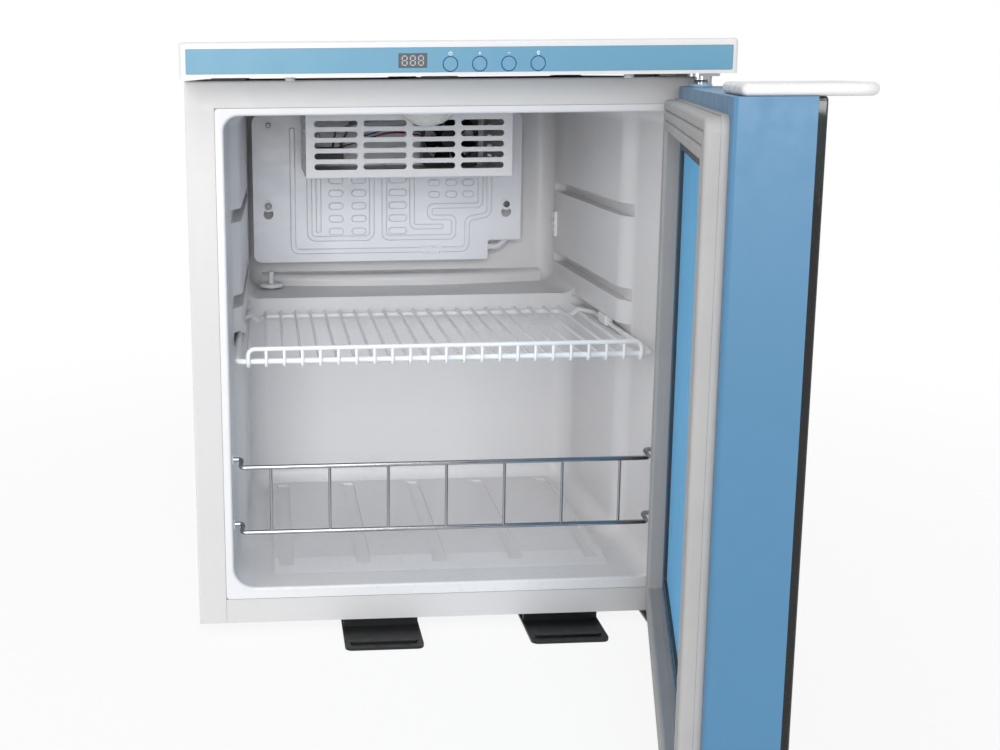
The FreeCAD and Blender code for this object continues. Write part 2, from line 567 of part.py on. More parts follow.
def build_evaporator():
    x0, x1 = EVAP_X
    z0, z1 = EVAP_Z
    corners = ((x0, z0), (NOTCH_X, z0), (NOTCH_X, NOTCH_Z), (x1, NOTCH_Z), (x1, z1), (x0, z1))
    outline = [V(x, EVAP_Y, z) for x, z in corners]
    plate = slab(outline, [9, 3, 3, 3, 9, 9], V(0, 1.6, 0))
    keyholes = []
    fixings = [on_plate(across, up) for across, up in EVAP_SCREWS]
    for spot in fixings[:2]:
        keyholes.append(Part.makeCylinder(2.6, 6, spot - V(0, 2, 0), V(0, 1, 0)))
        keyholes.append(Part.makeCylinder(5.6, 6, spot - V(0, 2, 9), V(0, 1, 0)))
    plate = plate.cut(keyholes)

    low = z0 + 12
    routes = [
        [(0.147, 0.915), (0.147, 0.073), (0.797, 0.073), (0.797, 0.28), (0.88, 0.31), (0.88, 0.817)],
        [(0.208, 0.878), (0.208, 0.159), (0.44, 0.159), (0.44, 0.64)],
        [(0.242, 0.878), (0.242, 0.195)],
        [(0.487, 0.659), (0.487, 0.159), (0.747, 0.159), (0.747, 0.293), (0.657, 0.293), (0.657, 0.372),
         (0.847, 0.372), (0.847, 0.707)],
        [(0.59, 0.64), (0.59, 0.232), (0.71, 0.232)],
    ]
    raised = []
    for i, route in enumerate(routes):
        tight = i in (3, 4)
        raised.append(channel([on_plate(*spot) for spot in route], bend=5.0 if tight else CHANNEL_BEND))
    for row in range(5):
        for across, length in ((0.307, 17), (0.392, 17), (0.537, 21)):
            raised.append(dash(on_plate(across, 0.207 + row * 0.087), length, 8.4))
    for row in range(3):
        for across in (0.673, 0.737, 0.8):
            raised.append(dash(on_plate(across, 0.451 + row * 0.079), 13.6, 8.0))
    comb = on_plate(0.623, 0).x
    for i in range(7):
        raised.append(box(comb + i * 3.6, comb + 2 + i * 3.6, EVAP_Y - 2.6, EVAP_Y, low - 4.5, low + 4.5))
    nodes["evaporator_plate"] = joined([plate] + raised)

    screws, washers, spacers = [], [], []
    for i, spot in enumerate(fixings):
        x, z = spot.x, spot.z
        small = i == 2
        head = Part.makeCylinder(2.6 if small else 3.6, 2.4, V(x, EVAP_Y - 3.6, z), V(0, 1, 0))
        head = head.makeFillet(1.0, [e for e in head.Edges if e.BoundBox.YMax < EVAP_Y - 3.5])
        cross = [box(x - 1.8, x + 1.8, EVAP_Y - 4, EVAP_Y - 2.6, z - 0.4, z + 0.4),
                 box(x - 0.4, x + 0.4, EVAP_Y - 4, EVAP_Y - 2.6, z - 1.8, z + 1.8)]
        shank = Part.makeCylinder(1.9, 22, V(x, EVAP_Y - 1.4, z), V(0, 1, 0))
        if small:
            hole = Part.makeCylinder(2.0, 6, V(x, EVAP_Y - 2, z), V(0, 1, 0))
            nodes["evaporator_plate"] = nodes["evaporator_plate"].cut(hole)
        screws.append(joined([head.cut(cross), shank]))
        ring = Part.makeCylinder(4.2 if small else 6.4, 1.2, V(x, EVAP_Y - 1.2, z), V(0, 1, 0))
        washers.append(ring.cut(Part.makeCylinder(2.0, 3, V(x, EVAP_Y - 2, z), V(0, 1, 0))))
        spacer = Part.makeCylinder(6, BACK_Y - EVAP_Y - 1.6, V(x, EVAP_Y + 1.6, z), V(0, 1, 0))
        spacers.append(spacer.cut(Part.makeCylinder(2.0, 40, V(x, EVAP_Y, z), V(0, 1, 0))))
    nodes["evaporator_screws"] = Part.makeCompound(screws)
    nodes["evaporator_spacers"] = Part.makeCompound(washers + spacers)

    tube = bent_bar([V(NOTCH_X - 1, EVAP_Y + 0.8, z0 + 14), V(NOTCH_X + 12, EVAP_Y + 4, z0 + 14),
                     V(NOTCH_X + 26, EVAP_Y + 12, z0 + 24), V(NOTCH_X + 28, BACK_Y + 2, z0 + 30)], 6, 3.4)
    nodes["suction_tube"] = tube.cut([nodes["evaporator_plate"], nodes["liner"], nodes["insulation"]])

    plug = V(24 - PANEL_BACK_HALF, BACK_Y - 34, HUMP_Z)
    disc = Part.makeCylinder(13.5, 4, plug + V(0, 0, 2))
    disc = disc.makeFillet(1.4, disc.Edges[:1])
    stem = Part.makeCylinder(3, 14, plug + V(0, 0, 5))
    foot = Part.makeCylinder(5, 4, plug - V(0, 0, 0.5))
    nodes["drain_plug"] = joined([disc, stem, foot]).cut(nodes["liner"])


def build_fan():
    x0, x1 = GRILLE_X
    z0, z1 = GRILLE_Z
    rear = EVAP_Y - 2.0
    case = box(x0, x1, GRILLE_Y, rear, z0, z1)
    case = case.makeFillet(1.8, edges_where(case, lambda p: p.y < GRILLE_Y + 1e-6 and p.z < z1 - 1e-6
                                            or p.z < z0 + 1e-6 and p.y < GRILLE_Y + 1e-6))
    hollow = box(x0 + 1, x1 - 1, GRILLE_Y + 1, rear + 1, z0 + 1, z1 + 1)
    case = case.cut(hollow)
    columns, rows = 4, 5
    margin, land = 8.2, 5.6
    width = (x1 - x0 - 2 * margin - (columns - 1) * land) / columns
    tools = []
    for row in range(rows):
        z = z0 + 11.5 + row * 10.5
        for column in range(columns):
            left = x0 + margin + column * (width + land)
            tools.append(slot_tool(left, left + width, z, 6.0, GRILLE_Y - 2, GRILLE_Y + 3))
    for row in range(rows):
        z = z0 + 13 + row * 10.5
        for column in range(3):
            y = GRILLE_Y + 22 + column * 42
            tools.append(box(x0 - 2, x0 + 3, y, y + 26, z - 1.6, z + 1.6))
            tools.append(box(x1 - 3, x1 + 2, y, y + 26, z - 1.6, z + 1.6))
    case = case.cut(tools)
    tabs = [box(x, x + 18, rear - 1, rear, z0 + 1, z0 + 14) for x in (x0 + 12, x1 - 30)]
    nodes["fan_cover"] = joined([case] + tabs)

    cx, cz = FAN_CENTRE.x, FAN_CENTRE.z
    y0, y1 = FAN_CENTRE.y, FAN_CENTRE.y + 20
    frame = rect_xz(cx - 30, cx + 30, cz - 30, cz + 30, y0, y1, 4)
    frame = frame.cut(Part.makeCylinder(28.2, 30, V(cx, y0 - 2, cz), V(0, 1, 0)))
    for sx in (-1, 1):
        for sz in (-1, 1):
            frame = frame.cut(Part.makeCylinder(2.1, 30, V(cx + sx * 25, y0 - 2, cz + sz * 25), V(0, 1, 0)))
    hub = Part.makeCylinder(11, 4, V(cx, y1 - 4, cz), V(0, 1, 0))
    shaft = Part.makeCylinder(2.0, 12, V(cx, y1 - 15, cz), V(0, 1, 0))
    spokes = []
    for i in range(3):
        spoke = box(cx - 1.5, cx + 1.5, y1 - 4, y1 - 1, cz + 8, cz + 29)
        spoke.rotate(V(cx, 0, cz), V(0, 1, 0), 60 + i * 120)
        spokes.append(spoke)
    standoffs = [Part.makeCylinder(2.0, EVAP_Y - y0, V(cx + sx * 25, y0, cz + sz * 25), V(0, 1, 0))
                 for sx, sz in ((-1, -1), (1, 1))]
    standoffs += [Part.makeCylinder(3.6, EVAP_Y - y1, V(cx + sx * 25, y1, cz + sz * 25), V(0, 1, 0))
                  for sx, sz in ((-1, -1), (1, 1))]
    nodes["fan_frame"] = joined([frame, hub, shaft] + spokes + standoffs).cut(nodes["evaporator_plate"])

    rotor_hub = Part.makeCylinder(11.5, 13, V(cx, y0 + 1, cz), V(0, 1, 0))
    rotor_hub = rotor_hub.makeFillet(2, [e for e in rotor_hub.Edges if e.BoundBox.YMax < y0 + 1.01])
    rotor_hub = rotor_hub.cut(Part.makeCylinder(2.06, 12, V(cx, y0 + 4, cz), V(0, 1, 0)))
    blades = []
    sweep = Part.makeCylinder(27.0, 14, V(cx, y0 + 0.8, cz), V(0, 1, 0))
    for i in range(7):
        blade = box(cx - 7, cx + 7, y0 + 6.9, y0 + 8.1, cz + 8, cz + 30)
        blade.rotate(V(cx, y0 + 7.5, cz), V(0, 0, 1), 38)
        blade.rotate(V(cx, 0, cz), V(0, 1, 0), i * 360 / 7)
        blades.append(blade.common(sweep))
    bore = Part.makeCylinder(2.06, 12, V(cx, y0 + 4, cz), V(0, 1, 0))
    nodes["fan_rotor"] = rotor_hub.fuse(blades).cut(bore)

    left, top = x0 + 12, z1 - 8
    block = box(left, left + 34, EVAP_Y - 22, EVAP_Y + 0.2, z0 + 8, z0 + 22)
    lead_a = bent_bar([V(left + 30, EVAP_Y - 14, z0 + 20), V(left + 40, EVAP_Y - 52, top - 6),
                       V(cx - 60, y0 - 20, top - 4), V(cx - 29, y0 + 8, top - 4)], 6, 1.2)
    lead_b = bent_bar([V(left + 22, EVAP_Y - 14, z0 + 20), V(left + 22, EVAP_Y - 82, top - 14),
                       V(left + 60, y0 - 60, top), V(cx - 40, y0 - 10, top + 1),
                       V(cx - 27, y0 + 12, top)], 6, 1.2)
    hidden = [nodes["evaporator_plate"], nodes["fan_cover"], nodes["fan_frame"]]
    nodes["fan_wiring"] = Part.makeCompound([piece.cut(hidden) for piece in (block, lead_a, lead_b)])


def build_lamp():
    seat = V(-5, 112, CEILING_Z - 3.5)
    nodes["lamp_base"] = Part.makeCylinder(29, 3.5, seat)
    dome = Part.makeSphere(32, seat + V(0, 0, 20.5))
    dome = dome.common(Part.makeCylinder(24.8, 20, seat - V(0, 0, 20)))
    nodes["lamp_lens"] = dome


def build_sensor():
    wall = PANEL_BACK_HALF + 0.35
    y, bottom = BACK_Y - 30, EVAP_Z[0] + 25
    cover = rect_xz(wall - 3.2, wall + 2, bottom, bottom + 28, y, y + 12, 1)
    for i in range(3):
        z = bottom + 5.5 + i * 7.4
        cover = cover.cut(box(wall - 5, wall - 0.6, y + 2, y + 10, z, z + 4.2))
    nodes["sensor_cover"] = cover.cut(nodes["liner"])


# ---------------------------------------------------------------- shelf and bottle guard
def build_shelf():
    y0, y1 = SHELF_Y
    low_z = SHELF_Z - 2 * STACK
    right = [V(SHELF_HALF - 24, y1, low_z), V(SHELF_HALF - 16, y1 - 20, low_z),
             V(SHELF_HALF - 11, y1 - 32, SHELF_Z), V(SHELF_HALF, y1 - 54, SHELF_Z),
             V(SHELF_HALF, y0, SHELF_Z)]
    left = [V(-p.x, p.y, p.z) for p in reversed(right)]
    back_middle = V(0, y1, low_z)
    frame = bent_bar([back_middle] + right + left + [back_middle], 6, SHELF_BAR_R)

    pitch = 2 * SHELF_LIP_HALF / (SHELF_WIRES - 1)
    wire_z = SHELF_Z - STACK
    front = y0 - 4.4
    rim = [V(SHELF_LIP_HALF, y1 - 26, wire_z), V(SHELF_LIP_HALF, front, wire_z),
           V(SHELF_LIP_HALF, front, wire_z + LIP_H), V(-SHELF_LIP_HALF, front, wire_z + LIP_H),
           V(-SHELF_LIP_HALF, front, wire_z), V(-SHELF_LIP_HALF, y1 - 26, wire_z)]
    lip = bent_bar(rim, 6, LIP_R)
    wires = []
    for i in range(1, SHELF_WIRES - 1):
        x = -SHELF_LIP_HALF + i * pitch
        turn = V(x, front + 4.5, wire_z)
        run = rod(V(x, y1 + 3, wire_z), turn, SHELF_WIRE_R)
        riser = bent_bar([turn, V(x, front, wire_z), V(x, front, wire_z + LIP_H)], 4, SHELF_WIRE_R)
        wires += [run, riser.cut(lip)]
    nodes["shelf_frame"] = frame
    nodes["shelf_wires"] = Part.makeCompound(wires)
    nodes["shelf_lip"] = lip.cut(frame)

    clip = rect_xz(SHELF_HALF - 5.4, SHELF_HALF + 3.2, SHELF_Z - 2.4, SHELF_Z + 8.2, 150, 176, 2)
    clip = clip.makeFillet(1.2, [e for e in clip.Edges if e.BoundBox.YLength < 0.01])
    clip = clip.cut(rod(V(SHELF_HALF, 140, SHELF_Z), V(SHELF_HALF, 190, SHELF_Z), SHELF_BAR_R))
    nodes["shelf_clips"] = Part.makeCompound([clip, mirrored(clip)])


def build_guard():
    wall = MOUTH_HALF - 1.5 * (GUARD_Y + 10) / (BEVEL_Y[0] + 10)
    bars, rings = [], []
    for z in GUARD_ZS:
        right = [V(wall + 1, GUARD_Y, z), V(wall - 9, GUARD_Y, z), V(wall - 7, GUARD_Y - 11.5, z - 4)]
        left = [V(-p.x, p.y, p.z) for p in reversed(right)]
        bars.append(bent_bar(right + left, 3, GUARD_R).cut(nodes["liner"]))
        for side in (-1, 1):
            ring = Part.makeCylinder(4.6, 1.6, V(side * (wall - 1.0), GUARD_Y, z), V(side, 0, 0))
            hole = Part.makeCylinder(GUARD_R, 9, V(side * (wall - 2), GUARD_Y, z), V(side, 0, 0))
            rings.append(ring.cut([hole, nodes["liner"]]))
    nodes["guard_bars"] = Part.makeCompound(bars)
    nodes["guard_grommets"] = Part.makeCompound(rings)
    top, bottom = GUARD_ZS[0] - 4, GUARD_ZS[1] - 4
    posts = []
    for i in range(GUARD_UPRIGHTS):
        x = (2 * i + 1 - GUARD_UPRIGHTS) * (wall - 8) / GUARD_UPRIGHTS
        posts.append(rod(V(x, GUARD_Y - 11.5, bottom), V(x, GUARD_Y - 11.5, top), 1.3).cut(bars))
    nodes["guard_uprights"] = Part.makeCompound(posts)


# ---------------------------------------------------------------- door, drawn shut
def build_door():
    z0, z1 = DOOR_Z
    door = {}
    inner_half = DOOR_HALF - STILE
    rebate = 5.5

    def rebated(block):
        recess = box(-inner_half - rebate, inner_half + rebate, DOOR_REAR - 7, DOOR_REAR + 1,
                     z0 + STILE - rebate, z1 - STILE + rebate)
        return block.cut(recess)

    stile = rect_xy(inner_half, DOOR_HALF, DOOR_FRONT, DOOR_REAR, z0, z1, [0, 0, 3, 0])
    top_hole = Part.makeCylinder(6, 20, V(HINGE.x, HINGE.y, z1 - 16))
    bottom_hole = Part.makeCylinder(6, 20, V(HINGE.x, HINGE.y, z0 - 4))
    door["door_stile_hinge"] = rebated(stile).cut([top_hole, bottom_hole])
    door["door_stile_free"] = rebated(mirrored(stile))
    rail = box(-inner_half, inner_half, DOOR_FRONT, DOOR_REAR, z1 - STILE, z1)
    door["door_rail_top"] = rebated(rail)
    rail = box(-inner_half, inner_half, DOOR_FRONT, DOOR_REAR, z0, z0 + STILE)
    door["door_rail_bottom"] = rebated(rail)

    glass = rect_xz(-DOOR_HALF, DOOR_HALF, z0, z1, DOOR_FRONT - GLASS_T, DOOR_FRONT, 3)
    rims = [e for e in glass.Edges if e.BoundBox.YMax < DOOR_FRONT - GLASS_T + 1e-3]
    door["door_outer_glass"] = glass.makeChamfer(0.8, rims)
    door["door_glass_spacer"] = ring_xz(inner_half, z0 + STILE, z1 - STILE, 9, DOOR_FRONT, DOOR_REAR - 7, 3)
    low, high = z0 + STILE - rebate + 0.4, z1 - STILE + rebate - 0.4
    span = inner_half + rebate - 0.4
    door["door_inner_panel"] = rect_xz(-span, span, low, high, DOOR_REAR - 7, DOOR_REAR - 3, 3)
    door["door_panel_seal"] = ring_xz(span, low, high, 6, DOOR_REAR - 3, DOOR_REAR - 0.6, 3)

    half = DOOR_HALF - GASKET_INSET
    crest = -DOOR_REAR - GASKET_GAP
    low, high = z0 + GASKET_INSET, z1 - GASKET_INSET
    rings = [ring_xz(half, low, high, 27, DOOR_REAR, DOOR_REAR + 4, 9),
             ring_xz(half - 1, low + 1, high - 1, 24, DOOR_REAR + 3, DOOR_REAR + crest * 0.62, 8)]
    for inset, corner in ((1.0, 8.0), (9.0, 6.0), (17.0, 4.5)):
        ring = ring_xz(half - inset, low + inset, high - inset, 8.2,
                       DOOR_REAR + 3, DOOR_REAR + crest, corner)
        lips = [e for e in ring.Edges if e.BoundBox.YMin > DOOR_REAR + crest - 1e-3]
        rings.append(ring.makeFillet(GASKET_ROUND, lips))
    door["door_gasket"] = joined(rings)

    handle = rect_xy(-DOOR_HALF, -DOOR_HALF + 104, DOOR_FRONT - GLASS_T - 25, DOOR_REAR - 4, z1, z1 + 6.6,
                     [11, 11, 4, 4])
    nose = [e for e in handle.Edges if e.BoundBox.ZLength < 1e-3]
    door["door_handle"] = handle.makeFillet(2.9, nose)
    bushes = []
    for z, up in ((z1, 1), (z0, -1)):
        flange = Part.makeCylinder(9, 1.8, V(HINGE.x, HINGE.y, z if up > 0 else z - 1.8))
        sleeve = Part.makeCylinder(6, 15, V(HINGE.x, HINGE.y, z - 15 if up > 0 else z))
        bore = Part.makeCylinder(PIN_R + PIN_FIT, 40, V(HINGE.x, HINGE.y, z - 20))
        bushes.append(joined([flange, sleeve]).cut(bore))
    door["door_bushes"] = Part.makeCompound(bushes)
    for name, shape in door.items():
        turned = shape.copy()
        turned.rotate(HINGE, V(0, 0, 1), DOOR_OPEN)
        nodes[name] = turned


# ---------------------------------------------------------------- hinges and feet
def build_hinges():
    z1 = DOOR_Z[1]
    corners = ((-18, 40), (-18, -20), (-12, -41), (12, -41), (17, -20), (17, 40))
    outline = [V(HINGE.x + x, y, BODY_H) for x, y in corners]
    plate = slab(outline, [4, 4, 9, 9, 4, 4], V(0, 0, 2.2))
    bracket = plate.cut(nodes["top_cover"])
    collar = Part.makeCylinder(6.4, 2.6, V(HINGE.x, HINGE.y, BODY_H - 2.6))
    pin = Part.makeCylinder(PIN_R, BODY_H - z1 + 13.5, V(HINGE.x, HINGE.y, z1 - 13.5))
    turn = Part.makeTorus(PIN_R + 0.9, 1.0, V(HINGE.x, HINGE.y, BODY_H - 3.9))
    nodes["hinge_top"] = joined([bracket, collar, pin, turn])

    z0 = DOOR_Z[0]
    corners = ((-24, 60), (-24, -20), (-14, -42), (12, -42), (18, -20), (18, 60))
    outline = [V(HINGE.x + x, y, -3) for x, y in corners]
    bracket = slab(outline, [4, 6, 10, 10, 4, 4], V(0, 0, 3))
    collar = Part.makeCylinder(7, 2.6, V(HINGE.x, HINGE.y, 0))
    pin = Part.makeCylinder(PIN_R, z0 + 13.5, V(HINGE.x, HINGE.y, 0))
    nodes["hinge_bottom"] = joined([bracket, collar, pin])


def build_feet():
    for name, (x, reach) in STABILISERS.items():
        plate = rect_xy(x, x + STABILISER_W, -reach, 46, -FOOT_H, -FOOT_H + 2.4, [6, 6, 2, 2])
        web = box(x + 1, x + STABILISER_W - 1, 2, 6, -FOOT_H + 1, 0)
        rear = box(x + 1, x + STABILISER_W - 1, 40, 44, -FOOT_H + 1, 0)
        rib = slot_tool(x + 5, x + STABILISER_W - 5, 0, 5.0, 0, 2.4)
        rib.rotate(V(0, 0, 0), V(1, 0, 0), 90)
        rib.translate(V(0, -reach + 11, -FOOT_H + 1.6))
        nodes["stabiliser_" + name] = joined([plate, web, rear, rib])
    feet = []
    for x in (30 - BODY_W / 2, BODY_W / 2 - 30):
        foot = Part.makeCone(15, 17, FOOT_H, V(x, BODY_D - 28, -FOOT_H))
        feet.append(foot.makeFillet(1.5, [e for e in foot.Edges if e.BoundBox.ZMax < -FOOT_H + 1e-3]))
    nodes["rear_feet"] = Part.makeCompound(feet)


# ---------------------------------------------------------------- build and export
def main():
    build_body(build_liner())
    build_bay()
    build_cover()
    build_evaporator()
    build_fan()
    build_lamp()
    build_sensor()
    build_shelf()
    build_guard()
    build_door()
    build_hinges()
    build_feet()
    whole = Part.makeCompound(list(nodes.values())).BoundBox
    shift = V(-whole.Center.x, -whole.Center.y, -whole.ZMin)
    os.makedirs("parts", exist_ok=True)
    for name, shape in nodes.items():
        shape.translate(shift)
        shape.exportStep("parts/" + name + ".step")
        print(name, len(shape.Solids), shape.isValid(), round(shape.Volume / 1000, 1))
    print("shift", [round(v, 4) for v in shift], "size", round(whole.XLength, 1), round(whole.YLength, 1),
          round(whole.ZLength, 1))


main()
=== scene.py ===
"""Finishes, small parts and studio for a compact refrigerated cabinet with its door open."""

import math

import bmesh
import bpy
from mathutils import Matrix, Vector


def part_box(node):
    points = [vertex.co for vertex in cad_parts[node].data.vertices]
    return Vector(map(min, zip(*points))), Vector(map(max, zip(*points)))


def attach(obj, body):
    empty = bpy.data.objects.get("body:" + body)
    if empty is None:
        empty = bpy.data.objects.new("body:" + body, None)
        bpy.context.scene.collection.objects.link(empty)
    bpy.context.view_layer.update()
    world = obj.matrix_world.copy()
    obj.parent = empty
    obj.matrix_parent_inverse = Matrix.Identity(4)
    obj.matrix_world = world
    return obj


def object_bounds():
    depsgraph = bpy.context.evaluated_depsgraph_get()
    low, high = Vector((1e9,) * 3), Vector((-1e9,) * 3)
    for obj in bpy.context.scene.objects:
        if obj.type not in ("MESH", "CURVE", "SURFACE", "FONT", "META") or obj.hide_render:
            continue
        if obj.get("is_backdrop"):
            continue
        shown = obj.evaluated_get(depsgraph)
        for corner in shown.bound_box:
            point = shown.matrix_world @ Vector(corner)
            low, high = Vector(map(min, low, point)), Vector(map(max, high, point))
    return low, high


bl_info = {
    "name": "Compact Refrigerated Cabinet",
    "version": (1, 0, 0),
    "blender": (4, 5, 0),
    "location": "View3D > Sidebar > Cabinet",
    "description": "Dresses the packed cabinet: steel, liner, cold plate, wirework, glazed door",
    "category": "Object",
}

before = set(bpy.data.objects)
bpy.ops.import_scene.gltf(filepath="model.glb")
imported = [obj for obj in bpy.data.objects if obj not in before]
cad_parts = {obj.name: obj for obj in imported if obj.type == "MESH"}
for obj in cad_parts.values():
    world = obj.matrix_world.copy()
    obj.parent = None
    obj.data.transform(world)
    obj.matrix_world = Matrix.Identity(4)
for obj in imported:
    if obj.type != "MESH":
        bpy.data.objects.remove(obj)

MM = 0.001
BEAD_RISE = 1.4 * MM  # how far the stiffening beads stand out from the back sheet
SCREW_INSET = 12 * MM  # from the edge of the back sheet to a screw
BASE_SCREW_DROP = 4 * MM  # from the top of the compressor's base to a screw
SCREW_HEIGHTS = (0.05, 0.28, 0.52, 0.76)  # shares of the back sheet's height
VIEWPORT_GREY = (0.6, 0.6, 0.6, 1.0)
BUMPER_GREY = (0.55, 0.57, 0.58)
SLEEVE_GREY = (0.2, 0.2, 0.21)
TRAY_GREY = (0.62, 0.63, 0.64)
BUSH_BLUE = (0.35, 0.6, 0.85)
WHITE = (1.0, 1.0, 1.0)
LEAD_CODES = {"red": "A8262A", "blue": "2F5FA8"}
LEAD_STEP = 4 * MM  # the second lead lies this far above the first
FLOOR_TONE = (0.9, 0.9, 0.9)
FLOOR_REACH = 6.0  # half side of the floor
FLOOR_FADE = (0.3, 1.4)  # distances from the middle between which the floor turns white


def screen(code):
    """Scene colour of a hex code as it looks on screen."""
    parts = [int(code[i : i + 2], 16) / 255 for i in (0, 2, 4)]
    return tuple(p / 12.92 if p <= 0.04045 else ((p + 0.055) / 1.055) ** 2.4 for p in parts)


def colour(name, description, code):
    """A colour setting with a default given as a hex code."""
    return bpy.props.FloatVectorProperty(
        name=name, description=description, default=screen(code), size=3, min=0, max=1, subtype="COLOR"
    )


def length(name, description, default):
    """A length setting in metres."""
    return bpy.props.FloatProperty(
        name=name,
        description=description,
        default=default,
        min=0,
        precision=5,
        unit="LENGTH",
        subtype="DISTANCE",
    )


# ---------------------------------------------------------------- settings


class CabinetColours(bpy.types.PropertyGroup):
    """Colours of the cabinet's materials."""

    coat: colour("Coat", "White powder coat of the body", "D3D1D0")
    cover: colour("Cover", "White plastic of the top cover and handle", "D8D7D8")
    liner: colour("Liner", "Formed white plastic of the compartment", "E4E3E4")
    strip: colour("Strip", "Sky-blue film of the control strip", "6697B0")
    ring: colour("Button ring", "Dark line round each button", "3D63A6")
    print_white: colour("Print", "White symbols on the strip", "F2F5F7")
    window: colour("Window", "Smoked display window", "515459")
    segment: colour("Segment", "Unlit display segments", "A9AAAD")
    plate: colour("Cold plate", "Coated aluminium of the cold plate", "EBECF0")
    wire: colour("Wire", "Plastic coating of the shelf", "F2F2F3")
    door: colour("Door", "Satin blue of the door frame", "46779A")
    pane: colour("Pane", "Blue film on the inner pane", "6FC2F5")
    glass: colour("Glass", "Tint of the outer glass", "B4CEC6")
    gasket: colour("Gasket", "Soft grey-white gasket", "A6A5A5")
    seal: colour("Seal", "Dark seal round the inner pane", "31353C")
    black: colour("Black", "Black plastic and enamel", "0B0C0E")
    zinc: colour("Zinc", "Galvanised sheet", "B4B7BA")
    chrome: colour("Chrome", "Chromium plate", "A5A7AB")
    copper: colour("Copper", "Copper tube", "B8703F")
    foam: colour("Foam", "Polyurethane foam", "D9C48E")
    board: colour("Board", "Printed board", "1F5A33")
    diffuser: colour("Diffuser", "Milky lamp cover", "E6E3DC")


class CabinetSizes(bpy.types.PropertyGroup):
    """Sizes of the small parts that this scene adds."""

    icon_height: length("Icon height", "Height of the symbols above the buttons", 2.6 * MM)
    icon_line: length("Icon line", "Line width of those symbols", 0.42 * MM)
    print_depth: length("Print depth", "Thickness of the printed symbols", 0.08 * MM)
    ring_width: length("Ring width", "Width of the dark line round each button", 0.7 * MM)
    screw_head: length("Screw head", "Diameter of the small screw heads", 6.4 * MM)
    lead_width: length("Lead width", "Diameter of the fan leads", 1.5 * MM)


class CabinetStudio(bpy.types.PropertyGroup):
    """Camera and light of the studio."""

    lens: bpy.props.FloatProperty(
        name="Lens", description="Focal length", default=44.95, min=10, max=200, unit="CAMERA"
    )
    eye: bpy.props.FloatVectorProperty(
        name="Eye",
        description="Place of the camera",
        default=(-0.1617, -1.0345, 0.4888),
        size=3,
        subtype="TRANSLATION",
    )
    tilt: bpy.props.FloatProperty(
        name="Tilt", description="Camera's tilt below the horizon", default=0.1796, subtype="ANGLE"
    )
    turn: bpy.props.FloatProperty(
        name="Turn", description="Camera's turn to the right", default=0.0503, subtype="ANGLE"
    )
    roll: bpy.props.FloatProperty(
        name="Roll", description="Camera's roll", default=0.0096, subtype="ANGLE"
    )
    rise: bpy.props.FloatVectorProperty(
        name="Shift",
        description="Lens shift across and up",
        default=(0.1719, -0.075),
        size=2,
        subtype="XYZ",
    )
    fill: bpy.props.FloatProperty(
        name="Fill", description="Strength of the soft room light", default=0.47, min=0
    )
    key: bpy.props.FloatProperty(
        name="Key", description="Power of the large front lamp", default=120.0, min=0, unit="POWER"
    )
    top: bpy.props.FloatProperty(
        name="Top", description="Power of the lamp above the front", default=9.0, min=0, unit="POWER"
    )
    left: bpy.props.FloatProperty(
        name="Left", description="Power of the lamp at the left", default=12.0, min=0, unit="POWER"
    )
    side: bpy.props.FloatProperty(
        name="Side", description="Power of the side lamp", default=5.0, min=0, unit="POWER"
    )


# ---------------------------------------------------------------- shader maths


class Link:
    """One output of a shader node. Arithmetic on it adds Math nodes."""

    def __init__(self, sheet, socket):
        self.sheet = sheet
        self.socket = socket

    def calc(self, operation, *values):
        """The result of one Math node."""
        return self.sheet.add("ShaderNodeMath", {"operation": operation}, dict(enumerate(values)))

    def __add__(self, other):
        return self.calc("ADD", self, other)

    def __sub__(self, other):
        return self.calc("SUBTRACT", self, other)

    def __rsub__(self, other):
        return self.calc("SUBTRACT", other, self)

    def __mul__(self, other):
        return self.calc("MULTIPLY", self, other)

    def __pow__(self, other):
        return self.calc("POWER", self, other)

    def __gt__(self, other):
        return self.calc("GREATER_THAN", self, other)

    __radd__ = __add__
    __rmul__ = __mul__


